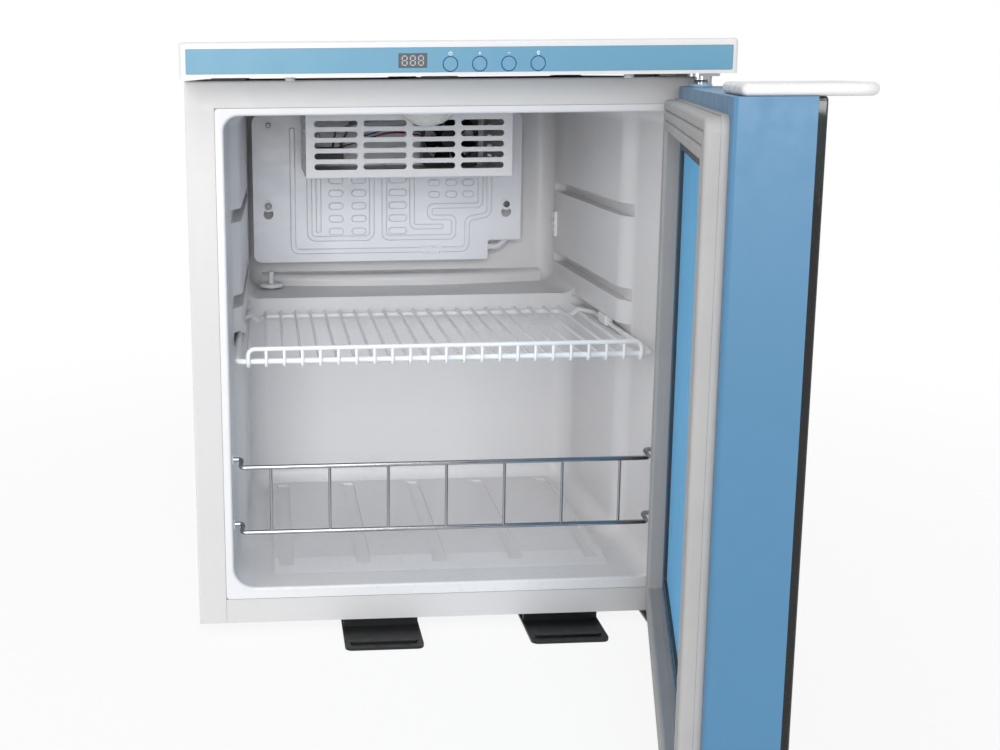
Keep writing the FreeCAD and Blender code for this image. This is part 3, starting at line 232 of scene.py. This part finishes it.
class Sheet:
    """The node tree of one material, or of the world."""

    def __init__(self, tree):
        self.tree = tree
        tree.nodes.clear()

    def add(self, kind, settings=None, sockets=None, out=0):
        """Adds a node, sets it up, fills its sockets and gives one of its outputs."""
        node = self.tree.nodes.new(kind)
        for name, value in (settings or {}).items():
            setattr(node, name, value)
        for name, value in (sockets or {}).items():
            if isinstance(value, Link):
                self.tree.links.new(value.socket, node.inputs[name])
            elif node.inputs[name].type == "RGBA":
                node.inputs[name].default_value = (*value, 1)
            else:
                node.inputs[name].default_value = value
        return Link(self, node.outputs[out]) if node.outputs else node

    def place(self):
        """Place on the piece, in metres of the rest frame."""
        return self.add("ShaderNodeTexCoord", out="Object")

    def axes(self):
        """X, Y and Z of that place."""
        split = self.add("ShaderNodeSeparateXYZ", sockets={0: self.place()})
        return [Link(self, socket) for socket in split.socket.node.outputs]

    def noise(self, pitch, detail=2.0, stretch=(1, 1, 1)):
        """Soft noise, 0 to 1, whose lumps are about pitch metres across."""
        at = self.add("ShaderNodeVectorMath", {"operation": "MULTIPLY"}, {0: self.place(), 1: stretch})
        return self.add("ShaderNodeTexNoise", None, {"Vector": at, "Scale": 1 / pitch, "Detail": detail})

    def cells(self, pitch, out="Distance"):
        """Round cells about pitch metres apart."""
        return self.add("ShaderNodeTexVoronoi", None, {"Vector": self.place(), "Scale": 1 / pitch}, out)

    def ease(self, value, low, high, start=0.0, end=1.0):
        """Runs smoothly from start to end while value runs from low to high."""
        return self.add(
            "ShaderNodeMapRange",
            {"interpolation_type": "SMOOTHSTEP"},
            {"Value": value, "From Min": low, "From Max": high, "To Min": start, "To Max": end},
        )

    def tint(self, share, base, other):
        """Colour base where share is 0 and other where it is 1."""
        return self.add("ShaderNodeMix", {"data_type": "RGBA"}, {0: share, 6: base, 7: other}, out=2)

    def bump(self, height, depth):
        """Normal of a relief that is depth metres deep."""
        return self.add("ShaderNodeBump", None, {"Height": height, "Distance": depth, "Strength": 1.0})


def shade(code_colour, factor):
    """The colour, lighter or darker by a factor."""
    return tuple(min(1.0, part * factor) for part in code_colour)


def finish(name, base, roughness, metallic=0.0, normal=None, **fixed):
    """A material of one surface shader. base, roughness and normal are functions of its sheet."""
    material = bpy.data.materials.new(name)
    material.use_nodes = True
    sheet = Sheet(material.node_tree)
    values = {"Base Color": base, "Roughness": roughness, "Metallic": metallic, "Normal": normal}
    sockets = {}
    for socket, value in values.items():
        if value is not None:
            sockets[socket] = value(sheet) if callable(value) else value
    for socket, value in fixed.items():
        sockets[socket.replace("_", " ")] = value
    surface = sheet.add("ShaderNodeBsdfPrincipled", None, sockets)
    sheet.add("ShaderNodeOutputMaterial", None, {"Surface": surface})
    material.diffuse_color = VIEWPORT_GREY
    return material


def dress(material, *nodes):
    """Gives these CAD nodes the material."""
    for name in nodes:
        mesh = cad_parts[name].data
        mesh.materials.clear()
        mesh.materials.append(material)


# ---------------------------------------------------------------- finishes


def powder_coat(name, tone, peel=0.9 * MM, depth=0.03 * MM, roughness=0.42, mottle=0.03):
    """Powder-coated sheet steel with a fine orange peel."""
    return finish(
        name,
        lambda s: s.tint(s.noise(60 * MM, 3), shade(tone, 1 - mottle), shade(tone, 1 + mottle / 2)),
        lambda s: s.ease(s.noise(9 * MM, 4), 0.25, 0.75, roughness - 0.06, roughness + 0.07),
        normal=lambda s: s.bump(s.noise(peel, 2), depth),
        Specular_IOR_Level=0.45,
    )


def moulded_plastic(name, tone, roughness=0.34, depth=0.006 * MM, mottle=0.02):
    """Injection-moulded plastic: even colour, faint flow marks, fine spark texture."""
    return finish(
        name,
        lambda s: s.tint(s.noise(45 * MM, 2), shade(tone, 1 - mottle), tone),
        lambda s: s.ease(s.noise(16 * MM, 3, (1, 3, 1)), 0.3, 0.7, roughness - 0.05, roughness + 0.05),
        normal=lambda s: s.bump(s.noise(0.5 * MM, 1), depth),
        Specular_IOR_Level=0.5,
    )


def formed_liner(name, tone):
    """Vacuum-formed liner: long ripples, a little haze where it stretched, faint dust low down."""

    def base(s):
        height = s.axes()[2]
        haze = s.ease(s.noise(70 * MM, 4), 0.35, 0.8) * 0.5
        dust = s.ease(height, 0.045, 0.09, 1, 0) * s.ease(s.noise(5 * MM, 5), 0.5, 0.75) * 0.35
        return s.tint(dust, s.tint(haze, tone, shade(tone, 0.965)), shade(tone, 0.86))

    def relief(s):
        ripple = s.noise(34 * MM, 2, (1, 1, 0.35)) * 0.7
        return s.bump(ripple + s.noise(1.1 * MM, 2) * 0.035, 0.5 * MM)

    return finish(
        name,
        base,
        lambda s: s.ease(s.noise(22 * MM, 4), 0.3, 0.75, 0.3, 0.42),
        normal=relief,
        Specular_IOR_Level=0.45,
    )


def coated_plate(name, tone):
    """White-coated rolled aluminium: fine rolling lines under a thin bluish coat."""

    def relief(s):
        return s.bump(s.noise(0.6 * MM, 2, (0.12, 1, 1)) * 0.4 + s.noise(24 * MM, 1), 0.03 * MM)

    return finish(
        name,
        lambda s: s.tint(s.ease(s.noise(60 * MM, 3), 0.3, 0.75), tone, shade(tone, 0.96)),
        lambda s: s.ease(s.noise(8 * MM, 4, (0.3, 1, 1)), 0.3, 0.7, 0.38, 0.48),
        0.12,
        relief,
        Specular_IOR_Level=0.6,
    )


def plated(name, tone, roughness=0.12, swirl=0.05, pitch=7 * MM):
    """Plated metal with a slightly uneven polish."""
    return finish(
        name,
        lambda s: s.tint(s.noise(pitch * 2, 3), shade(tone, 0.9), tone),
        lambda s: s.ease(s.noise(pitch, 4), 0.3, 0.75, roughness, roughness + swirl),
        1.0,
        lambda s: s.bump(s.noise(pitch, 1), 0.02 * MM),
    )


def galvanised(name, tone):
    """Galvanised sheet with its spangle."""

    def base(s):
        spangle = s.add("ShaderNodeSeparateColor", None, {0: s.cells(9 * MM, "Color")})
        return s.tint(spangle, shade(tone, 0.82), shade(tone, 1.06))

    return finish(
        name,
        base,
        lambda s: s.ease(s.noise(6 * MM, 3), 0.3, 0.7, 0.36, 0.5),
        0.85,
        lambda s: s.bump(s.cells(9 * MM), 0.02 * MM),
    )


def coated_wire(name, tone):
    """Wire dipped in soft white plastic, a little lumpy, greyer where it has been rubbed."""
    return finish(
        name,
        lambda s: s.tint(s.ease(s.noise(26 * MM, 4), 0.55, 0.8), tone, shade(tone, 0.93)),
        lambda s: s.ease(s.noise(6 * MM, 3), 0.3, 0.7, 0.3, 0.4),
        normal=lambda s: s.bump(s.noise(3.5 * MM, 2), 0.12 * MM),
        Coat_Weight=0.2,
        Coat_Roughness=0.2,
    )


def soft_rubber(name, tone, roughness=0.55):
    """Extruded or moulded rubber with a dull skin."""
    return finish(
        name,
        lambda s: s.tint(s.ease(s.noise(30 * MM, 4), 0.35, 0.8), tone, shade(tone, 0.93)),
        lambda s: s.ease(s.noise(4 * MM, 3), 0.3, 0.7, roughness - 0.05, roughness + 0.1),
        normal=lambda s: s.bump(s.noise(0.8 * MM, 2), 0.03 * MM),
        Specular_IOR_Level=0.35,
    )


def strip_film(name, colours, rings, ring_width):
    """Blue film. rings holds centre and radius of each button, which has a dark line at its edge."""

    def base(s):
        across, _, height = s.axes()
        grain = s.tint(s.noise(0.9 * MM, 2), shade(colours.strip, 0.95), shade(colours.strip, 1.04))
        drawn = None
        for x, z, radius in rings:
            away = ((across - x) ** 2.0 + (height - z) ** 2.0) ** 0.5
            line = s.ease(away, radius - ring_width, radius - ring_width * 0.55)
            drawn = line if drawn is None else drawn + line
        return grain if drawn is None else s.tint(drawn, grain, colours.ring)

    return finish(
        name,
        base,
        lambda s: s.ease(s.noise(20 * MM, 3), 0.3, 0.7, 0.3, 0.38),
        normal=lambda s: s.bump(s.noise(0.7 * MM, 2), 0.01 * MM),
        Specular_IOR_Level=0.3,
    )


def clear_pane(name, tone):
    """Glass, slightly uneven."""
    return finish(
        name,
        lambda s: s.tint(s.noise(120 * MM, 2), tone, shade(tone, 0.96)),
        lambda s: s.ease(s.noise(60 * MM, 4), 0.4, 0.8, 0.02, 0.05),
        Transmission_Weight=1.0,
        IOR=1.5,
    )


def foamed(name, tone, skin, front):
    """Foamed insulation with fine cells and a paler skin behind the front face."""
    return finish(
        name,
        lambda s: s.tint(s.ease(s.axes()[1], front, front + 30 * MM), skin, tone),
        lambda s: s.ease(s.noise(3 * MM, 3), 0.3, 0.7, 0.75, 0.9),
        normal=lambda s: s.bump(s.cells(1.2 * MM), 0.1 * MM),
    )


def tinted_film(name, tone):
    """A pane behind an even, almost opaque film that has a few faint bubbles."""
    return finish(
        name,
        lambda s: s.tint(s.noise(90 * MM, 2), tone, shade(tone, 0.94)),
        lambda s: s.ease(s.noise(14 * MM, 4), 0.3, 0.75, 0.5, 0.6),
        normal=lambda s: s.bump(s.ease(s.cells(24 * MM), 0.05, 0.09), 0.01 * MM),
        Transmission_Weight=0.06,
        Specular_IOR_Level=0.2,
    )


# ---------------------------------------------------------------- small parts


def piece(name, mesh, material, body):
    """Puts a finished mesh in the scene and lets it ride on a CAD body."""
    mesh.materials.append(material)
    made = bpy.data.objects.new(name, mesh)
    bpy.context.scene.collection.objects.link(made)
    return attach(made, body)


def mesh_of(name, build):
    """A mesh filled by build(bm)."""
    bm = bmesh.new()
    build(bm)
    bmesh.ops.recalc_face_normals(bm, faces=bm.faces)
    mesh = bpy.data.meshes.new(name)
    bm.to_mesh(mesh)
    bm.free()
    return mesh


def stroke(bm, points, width, depth):
    """A flat printed line through points (x, z), with its front face depth before y = 0."""
    joints = [Vector((x, 0, z)) for x, z in points]
    last = len(joints) - 1
    rails = []
    for i, joint in enumerate(joints):
        back = joints[i - 1] if i > 0 else joint
        on = joints[i + 1] if i < last else joint
        run = (on - back).normalized()
        side = Vector((run.z, 0, -run.x)) * width / 2
        front = Vector((0, -depth, 0))
        corners = (side, side + front, front - side, -side)
        rails.append([bm.verts.new(joint + corner) for corner in corners])
    for near, far in zip(rails, rails[1:]):
        for k in range(4):
            bm.faces.new((near[k], near[(k + 1) % 4], far[(k + 1) % 4], far[k]))
    bm.faces.new(rails[0])
    bm.faces.new(rails[-1])


def arc(centre, radius, start, end, steps=20):
    """Points on an arc, angles in degrees, anticlockwise from +X."""
    turns = [math.radians(start + (end - start) * k / steps) for k in range(steps + 1)]
    return [(centre[0] + radius * math.cos(t), centre[1] + radius * math.sin(t)) for t in turns]


def power_symbol(bm, size, line, depth):
    """A broken ring with a bar in its gap."""
    stroke(bm, arc((0, 0), size / 2, 125, 415), line, depth)
    stroke(bm, [(0, 0.04 * size), (0, 0.62 * size)], line, depth)


def plus_symbol(bm, size, line, depth):
    """Two crossing bars."""
    stroke(bm, [(-size * 0.4, 0), (size * 0.4, 0)], line, depth)
    stroke(bm, [(0, -size * 0.4), (0, size * 0.4)], line, depth * 1.02)


def minus_symbol(bm, size, line, depth):
    """One bar."""
    stroke(bm, [(-size * 0.4, 0), (size * 0.4, 0)], line, depth)


def lamp_symbol(bm, size, line, depth):
    """A bulb with its cap and three rays."""
    stroke(bm, arc((0, 0), size * 0.32, -60, 240), line, depth)
    for drop in (0.4, 0.56):
        stroke(bm, [(-size * 0.15, -size * drop), (size * 0.15, -size * drop)], line, depth)
    for angle in (45, 90, 135):
        ray = Vector((math.cos(math.radians(angle)), math.sin(math.radians(angle))))
        stroke(bm, [tuple(ray * size * 0.48), tuple(ray * size * 0.62)], line, depth)


SYMBOLS = {
    "button_power": power_symbol,
    "button_plus": plus_symbol,
    "button_minus": minus_symbol,
    "button_lamp": lamp_symbol,
}


def screw_mesh(name, diameter):
    """A pan-head screw with a cross recess. The head faces -Y and its seat is at y = 0."""
    radius = diameter / 2
    sides = 28
    profile = ((1.0, 0.0), (1.0, 0.16), (0.9, 0.34), (0.66, 0.46), (0.34, 0.5))
    arm, waist, recess = 0.3, 0.12, 0.3

    def ring(bm, shares, height):
        """One row of points round the axis; shares of the radius, one for each side."""
        row = []
        for k, share in enumerate(shares):
            turn = math.tau * k / sides
            across = radius * share
            row.append(bm.verts.new((across * math.cos(turn), -radius * height, across * math.sin(turn))))
        return row

    def build(bm):
        rows = [ring(bm, [share] * sides, height) for share, height in profile]
        cross = [arm if k % 7 in (0, 1, 6) else waist for k in range(sides)]
        rows.append(ring(bm, cross, recess))
        for lower, upper in zip(rows, rows[1:]):
            for k in range(sides):
                bm.faces.new((lower[k], lower[(k + 1) % sides], upper[(k + 1) % sides], upper[k]))
        bm.faces.new(rows[-1])

    return mesh_of(name, build)


def add_screws(name, spots, seat, diameter, material):
    """Screws whose heads face the back, at places (x, z) on the plane y = seat."""
    for i, (x, z) in enumerate(spots):
        mesh = screw_mesh(f"{name}_{i + 1}", diameter)
        mesh.transform(Matrix.Translation((x, seat, z)) @ Matrix.Rotation(math.pi, 4, "Z"))
        piece(f"{name}_{i + 1}", mesh, material, "cabinet")


def tube_piece(name, points, diameter, material, body):
    """A lead along a smooth curve."""
    curve = bpy.data.curves.new(name, "CURVE")
    curve.dimensions = "3D"
    curve.bevel_depth = diameter / 2
    curve.bevel_resolution = 3
    curve.use_fill_caps = True
    spline = curve.splines.new("NURBS")
    spline.points.add(len(points) - 1)
    for knot, place in zip(spline.points, points):
        knot.co = (*place, 1)
    spline.order_u = 3
    spline.use_endpoint_u = True
    curve.materials.append(material)
    made = bpy.data.objects.new(name, curve)
    bpy.context.scene.collection.objects.link(made)
    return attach(made, body)


def settings():
    """The three groups of settings."""
    scene = bpy.context.scene
    return scene.cabinet_colours, scene.cabinet_sizes, scene.cabinet_studio


# ---------------------------------------------------------------- operators


class CABINET_OT_body(bpy.types.Operator):
    """Finish the steel body, its cover, base and back"""

    bl_idname = "cabinet.body"
    bl_label = "Body"

    def execute(self, context):
        colours, sizes, _ = settings()
        dress(powder_coat("Body powder coat", tuple(colours.coat)), "outer_shell", "base_pan")
        dress(moulded_plastic("Cover plastic", tuple(colours.cover)), "top_cover", "cover_tray")
        dress(galvanised("Back sheet", tuple(colours.zinc)), "back_panel", "compressor_base")
        dress(soft_rubber("Clear bumper", BUMPER_GREY, 0.35), "cover_bumpers")
        steel = plated("Back screws", shade(colours.zinc, 0.6), 0.3)
        low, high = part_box("back_panel")
        sides = (low.x + SCREW_INSET, high.x - SCREW_INSET)
        middle = (low.x + high.x) / 2
        spots = [(x, low.z + share * (high.z - low.z)) for x in sides for share in SCREW_HEIGHTS]
        spots += [(x, high.z - SCREW_INSET) for x in (sides[0], middle, sides[1])]
        add_screws("back_screw", spots, high.y - BEAD_RISE, sizes.screw_head, steel)
        low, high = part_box("compressor_base")
        sides = (low.x + SCREW_INSET, high.x - SCREW_INSET)
        spots = [(x, high.z - BASE_SCREW_DROP) for x in sides]
        add_screws("base_screw", spots, high.y, sizes.screw_head, steel)
        return {"FINISHED"}


class CABINET_OT_controls(bpy.types.Operator):
    """Finish the control strip, display and buttons, and print their symbols"""

    bl_idname = "cabinet.controls"
    bl_label = "Controls"

    def execute(self, context):
        colours, sizes, _ = settings()
        rings = []
        for name in SYMBOLS:
            low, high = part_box(name)
            centre = (low + high) / 2
            rings.append((centre.x, centre.z, (high.x - low.x) / 2))
            dress(strip_film(f"{name} film", colours, rings[-1:], sizes.ring_width), name)
        dress(strip_film("Strip film", colours, (), sizes.ring_width), "fascia_strip")
        dress(
            finish(
                "Smoked window",
                lambda s: s.tint(s.noise(3 * MM, 3), tuple(colours.window), shade(colours.window, 0.8)),
                lambda s: s.ease(s.noise(5 * MM), 0.3, 0.7, 0.28, 0.36),
                Specular_IOR_Level=0.35,
            ),
            "display_window",
        )
        dress(moulded_plastic("Display segments", tuple(colours.segment), 0.4), "display_digits")
        dress(moulded_plastic("Printed board", tuple(colours.board), 0.4), "control_board")
        ink = moulded_plastic("White print", tuple(colours.print_white), 0.45)
        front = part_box("fascia_strip")[0].y
        for (name, draw), (x, z, radius) in zip(SYMBOLS.items(), rings):
            mesh = mesh_of(
                f"{name}_symbol",
                lambda bm: draw(bm, sizes.icon_height, sizes.icon_line, sizes.print_depth),
            )
            mesh.transform(Matrix.Translation((x, front, z + radius + sizes.icon_height * 0.95)))
            piece(f"{name}_symbol", mesh, ink, "cabinet")
        return {"FINISHED"}


class CABINET_OT_compartment(bpy.types.Operator):
    """Finish the liner and the small parts fixed to it"""

    bl_idname = "cabinet.compartment"
    bl_label = "Compartment"

    def execute(self, context):
        colours, _, _ = settings()
        dress(formed_liner("Liner plastic", tuple(colours.liner)), "liner")
        dress(
            moulded_plastic("White fittings", tuple(colours.wire), 0.4),
            "sensor_cover",
            "drain_plug",
            "guard_grommets",
            "shelf_clips",
            "lamp_base",
        )
        milky = tuple(colours.diffuser)
        dress(
            finish(
                "Lamp diffuser",
                lambda s: s.tint(s.noise(20 * MM, 3), milky, shade(milky, 0.93)),
                lambda s: s.ease(s.noise(8 * MM), 0.3, 0.7, 0.2, 0.3),
                normal=lambda s: s.bump(s.cells(3 * MM), 0.2 * MM),
                Coat_Weight=0.3,
            ),
            "lamp_lens",
        )
        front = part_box("insulation")[0].y
        dress(foamed("Foam", tuple(colours.foam), shade(colours.coat, 0.8), front), "insulation")
        return {"FINISHED"}


class CABINET_OT_cold_plate(bpy.types.Operator):
    """Finish the cold plate and its fixings"""

    bl_idname = "cabinet.cold_plate"
    bl_label = "Cold plate"

    def execute(self, context):
        colours, _, _ = settings()
        dress(coated_plate("Cold plate coat", tuple(colours.plate)), "evaporator_plate")
        dress(moulded_plastic("Tube sleeve", tuple(colours.plate), 0.45), "suction_tube")
        # Plated zinc screws, their tone darkened to about a third as painted shade of the dark keyholes
        # they sit in
        dress(plated("Plated screws with painted shade", shade(colours.zinc, 0.35), 0.28), "evaporator_screws")
        dress(moulded_plastic("Plate washers", tuple(colours.wire), 0.4), "evaporator_spacers")
        return {"FINISHED"}


class CABINET_OT_fan(bpy.types.Operator):
    """Finish the fan and its slotted cover"""

    bl_idname = "cabinet.fan"
    bl_label = "Fan"

    def execute(self, context):
        colours, sizes, _ = settings()
        dress(powder_coat("Fan cover coat", tuple(colours.liner), roughness=0.36), "fan_cover")
        dress(moulded_plastic("Fan plastic", tuple(colours.black), 0.4), "fan_frame", "fan_rotor")
        dress(soft_rubber("Lead sleeve", SLEEVE_GREY), "fan_wiring")
        plug_low, plug_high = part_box("fan_wiring")
        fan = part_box("fan_frame")[0]
        for i, (name, code) in enumerate(LEAD_CODES.items()):
            rise = Vector((0, 0, LEAD_STEP * i))
            path = [
                Vector((plug_low.x + 30 * MM, plug_high.y - 12 * MM, plug_low.z + 14 * MM)) + rise,
                Vector((plug_low.x + 44 * MM, plug_high.y - 70 * MM, plug_low.z + 22 * MM)) + rise,
                Vector((fan.x - 30 * MM, fan.y - 26 * MM, plug_low.z + 36 * MM)) + rise,
                Vector((fan.x + 1 * MM, fan.y + 10 * MM, plug_low.z + 26 * MM)) + rise,
            ]
            skin = soft_rubber(f"Lead {name}", screen(code), 0.4)
            tube_piece(f"fan_lead_{name}", path, sizes.lead_width, skin, "cabinet")
        return {"FINISHED"}


class CABINET_OT_wirework(bpy.types.Operator):
    """Finish the shelf and the bottle guard"""

    bl_idname = "cabinet.wirework"
    bl_label = "Wirework"

    def execute(self, context):
        colours, _, _ = settings()
        coating = coated_wire("Shelf coating", tuple(colours.wire))
        dress(coating, "shelf_frame", "shelf_wires", "shelf_lip")
        dress(plated("Bright chrome", tuple(colours.chrome)), "guard_bars", "guard_uprights")
        return {"FINISHED"}


class CABINET_OT_door(bpy.types.Operator):
    """Finish the door, its glass, gasket and hinges"""

    bl_idname = "cabinet.door"
    bl_label = "Door"

    def execute(self, context):
        colours, _, _ = settings()
        dress(
            powder_coat("Door blue", tuple(colours.door), 1.2 * MM, 0.008 * MM, 0.38, 0.02),
            "door_stile_hinge",
            "door_stile_free",
            "door_rail_top",
            "door_rail_bottom",
        )
        dress(clear_pane("Outer glass", tuple(colours.glass)), "door_outer_glass")
        dress(tinted_film("Blue pane", tuple(colours.pane)), "door_inner_panel")
        dress(moulded_plastic("Seal", tuple(colours.seal), 0.4), "door_panel_seal")
        dress(plated("Spacer", tuple(colours.zinc), 0.4), "door_glass_spacer")
        dress(soft_rubber("Gasket", tuple(colours.gasket)), "door_gasket")
        dress(moulded_plastic("Handle plastic", tuple(colours.cover), 0.3), "door_handle")
        dress(moulded_plastic("Bush plastic", BUSH_BLUE, 0.3), "door_bushes")
        dress(plated("Hinge chrome", tuple(colours.chrome), 0.1), "hinge_top")
        dress(powder_coat("Hinge enamel", tuple(colours.black)), "hinge_bottom")
        return {"FINISHED"}


class CABINET_OT_machinery(bpy.types.Operator):
    """Finish the compressor bay"""

    bl_idname = "cabinet.machinery"
    bl_label = "Machinery"

    def execute(self, context):
        colours, _, _ = settings()
        enamel = powder_coat("Compressor enamel", tuple(colours.black), 1.5 * MM, 0.06 * MM, 0.3)
        dress(enamel, "compressor")
        dress(soft_rubber("Black rubber", tuple(colours.black), 0.6), "compressor_mounts", "rear_feet")
        dress(moulded_plastic("Black plastic", tuple(colours.black), 0.45), "starter_box", "power_inlet")
        dress(moulded_plastic("Tray plastic", TRAY_GREY, 0.5), "drip_tray", "drain_hose")
        copper = plated("Copper tube", tuple(colours.copper), 0.3, 0.15)
        dress(copper, "refrigerant_lines", "filter_drier")
        return {"FINISHED"}


class CABINET_OT_feet(bpy.types.Operator):
    """Finish the plates under the front"""

    bl_idname = "cabinet.feet"
    bl_label = "Feet"

    def execute(self, context):
        colours, _, _ = settings()
        coat = powder_coat("Black coat", tuple(colours.black), 1.2 * MM, 0.05 * MM, 0.4)
        dress(coat, "stabiliser_left", "stabiliser_right")
        return {"FINISHED"}


def seen_ray(sheet):
    """1 for rays that show the background: seen directly, in a reflection or through glass."""
    path = sheet.add("ShaderNodeLightPath").socket.node.outputs
    seen = Link(sheet, path["Is Camera Ray"]) + Link(sheet, path["Is Glossy Ray"])
    return seen + Link(sheet, path["Is Transmission Ray"])


def area_lamp(name, power, size, place, target):
    """A square softbox at place that faces target."""
    data = bpy.data.lights.new(name, "AREA")
    data.energy = power
    data.size = size
    lamp = bpy.data.objects.new(name, data)
    lamp.location = place
    lamp.rotation_euler = (Vector(target) - Vector(place)).to_track_quat("-Z", "Y").to_euler()
    bpy.context.scene.collection.objects.link(lamp)
    lamp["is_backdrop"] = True


class CABINET_OT_stage(bpy.types.Operator):
    """Set the floor, the light and the camera"""

    bl_idname = "cabinet.stage"
    bl_label = "Stage"

    def execute(self, context):
        _, _, studio = settings()
        scene = context.scene
        scene.view_settings.view_transform = "Standard"
        world = bpy.data.worlds.new("Studio")
        scene.world = world
        world.use_nodes = True
        sheet = Sheet(world.node_tree)
        light = sheet.add("ShaderNodeBackground", None, {"Color": WHITE, "Strength": studio.fill})
        white = sheet.add("ShaderNodeBackground", None, {"Color": WHITE, "Strength": 1.0})
        mixed = sheet.add("ShaderNodeMixShader", None, {0: seen_ray(sheet) > 0.5, 1: light, 2: white})
        sheet.add("ShaderNodeOutputWorld", None, {"Surface": mixed})

        material = bpy.data.materials.new("Pale floor")
        material.use_nodes = True
        sheet = Sheet(material.node_tree)
        matt = sheet.add("ShaderNodeBsdfDiffuse", None, {"Color": FLOOR_TONE})
        glow = sheet.add("ShaderNodeEmission", None, {"Color": WHITE, "Strength": 1.0})
        across, along, _ = sheet.axes()
        away = (across**2.0 + along**2.0) ** 0.5
        share = (seen_ray(sheet) > 0.5) * sheet.ease(away, *FLOOR_FADE, 0.88, 1.0)
        surface = sheet.add("ShaderNodeMixShader", None, {0: share, 1: matt, 2: glow})
        sheet.add("ShaderNodeOutputMaterial", None, {"Surface": surface})
        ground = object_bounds()[0].z
        signs = ((-1, -1), (1, -1), (1, 1), (-1, 1))
        corners = [(x * FLOOR_REACH, y * FLOOR_REACH, ground) for x, y in signs]
        mesh = mesh_of("floor", lambda bm: bm.faces.new([bm.verts.new(corner) for corner in corners]))
        mesh.materials.append(material)
        floor = bpy.data.objects.new("floor", mesh)
        scene.collection.objects.link(floor)
        floor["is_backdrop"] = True

        middle = (0.0, 0.1, 0.28)
        area_lamp("front_softbox", studio.key, 2.0, (-0.75, -4.8, 1.3), middle)
        area_lamp("top_softbox", studio.top, 0.9, (-0.25, -1.35, 1.75), (0.0, 0.0, 0.1))
        area_lamp("left_softbox", studio.left, 1.0, (-2.3, -0.9, 0.8), middle)
        area_lamp("side_softbox", studio.side, 1.4, (2.4, -2.2, 1.3), middle)

        data = bpy.data.cameras.new("Camera")
        data.lens = studio.lens
        data.shift_x, data.shift_y = studio.rise
        camera = bpy.data.objects.new("Camera", data)
        aim = Matrix.Rotation(-studio.turn, 3, "Z") @ Matrix.Rotation(-studio.tilt, 3, "X")
        aim = aim @ Matrix.Rotation(studio.roll, 3, "Y")
        right, ahead, up = aim.col
        pose = Matrix((right, up, -ahead)).transposed().to_4x4()
        camera.matrix_world = Matrix.Translation(studio.eye) @ pose
        scene.collection.objects.link(camera)
        scene.camera = camera
        return {"FINISHED"}


class CABINET_PT_sidebar(bpy.types.Panel):
    """Settings and steps of the cabinet"""

    bl_idname = "CABINET_PT_sidebar"
    bl_label = "Cabinet"
    bl_space_type = "VIEW_3D"
    bl_region_type = "UI"
    bl_category = "Cabinet"

    def draw(self, context):
        for step in STEPS:
            self.layout.operator(step.bl_idname)
        for group in settings():
            box = self.layout.box()
            for name in group.bl_rna.properties.keys():
                if name not in ("rna_type", "name"):
                    box.prop(group, name)


GROUPS = {
    "cabinet_colours": CabinetColours,
    "cabinet_sizes": CabinetSizes,
    "cabinet_studio": CabinetStudio,
}

STEPS = (
    CABINET_OT_body,
    CABINET_OT_controls,
    CABINET_OT_compartment,
    CABINET_OT_cold_plate,
    CABINET_OT_fan,
    CABINET_OT_wirework,
    CABINET_OT_door,
    CABINET_OT_machinery,
    CABINET_OT_feet,
    CABINET_OT_stage,
)


def register():
    """Registers the settings, the steps and the panel."""
    for name, group in GROUPS.items():
        bpy.utils.register_class(group)
        setattr(bpy.types.Scene, name, bpy.props.PointerProperty(type=group))
    for kind in (*STEPS, CABINET_PT_sidebar):
        bpy.utils.register_class(kind)


def unregister():
    """Takes them out again."""
    for kind in (CABINET_PT_sidebar, *reversed(STEPS)):
        bpy.utils.unregister_class(kind)
    for name, group in reversed(GROUPS.items()):
        delattr(bpy.types.Scene, name)
        bpy.utils.unregister_class(group)


def main():
    """Runs every step."""
    register()
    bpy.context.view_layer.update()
    for step in STEPS:
        group, name = step.bl_idname.split(".")
        getattr(getattr(bpy.ops, group), name)()


if __name__ == "__main__":
    main()
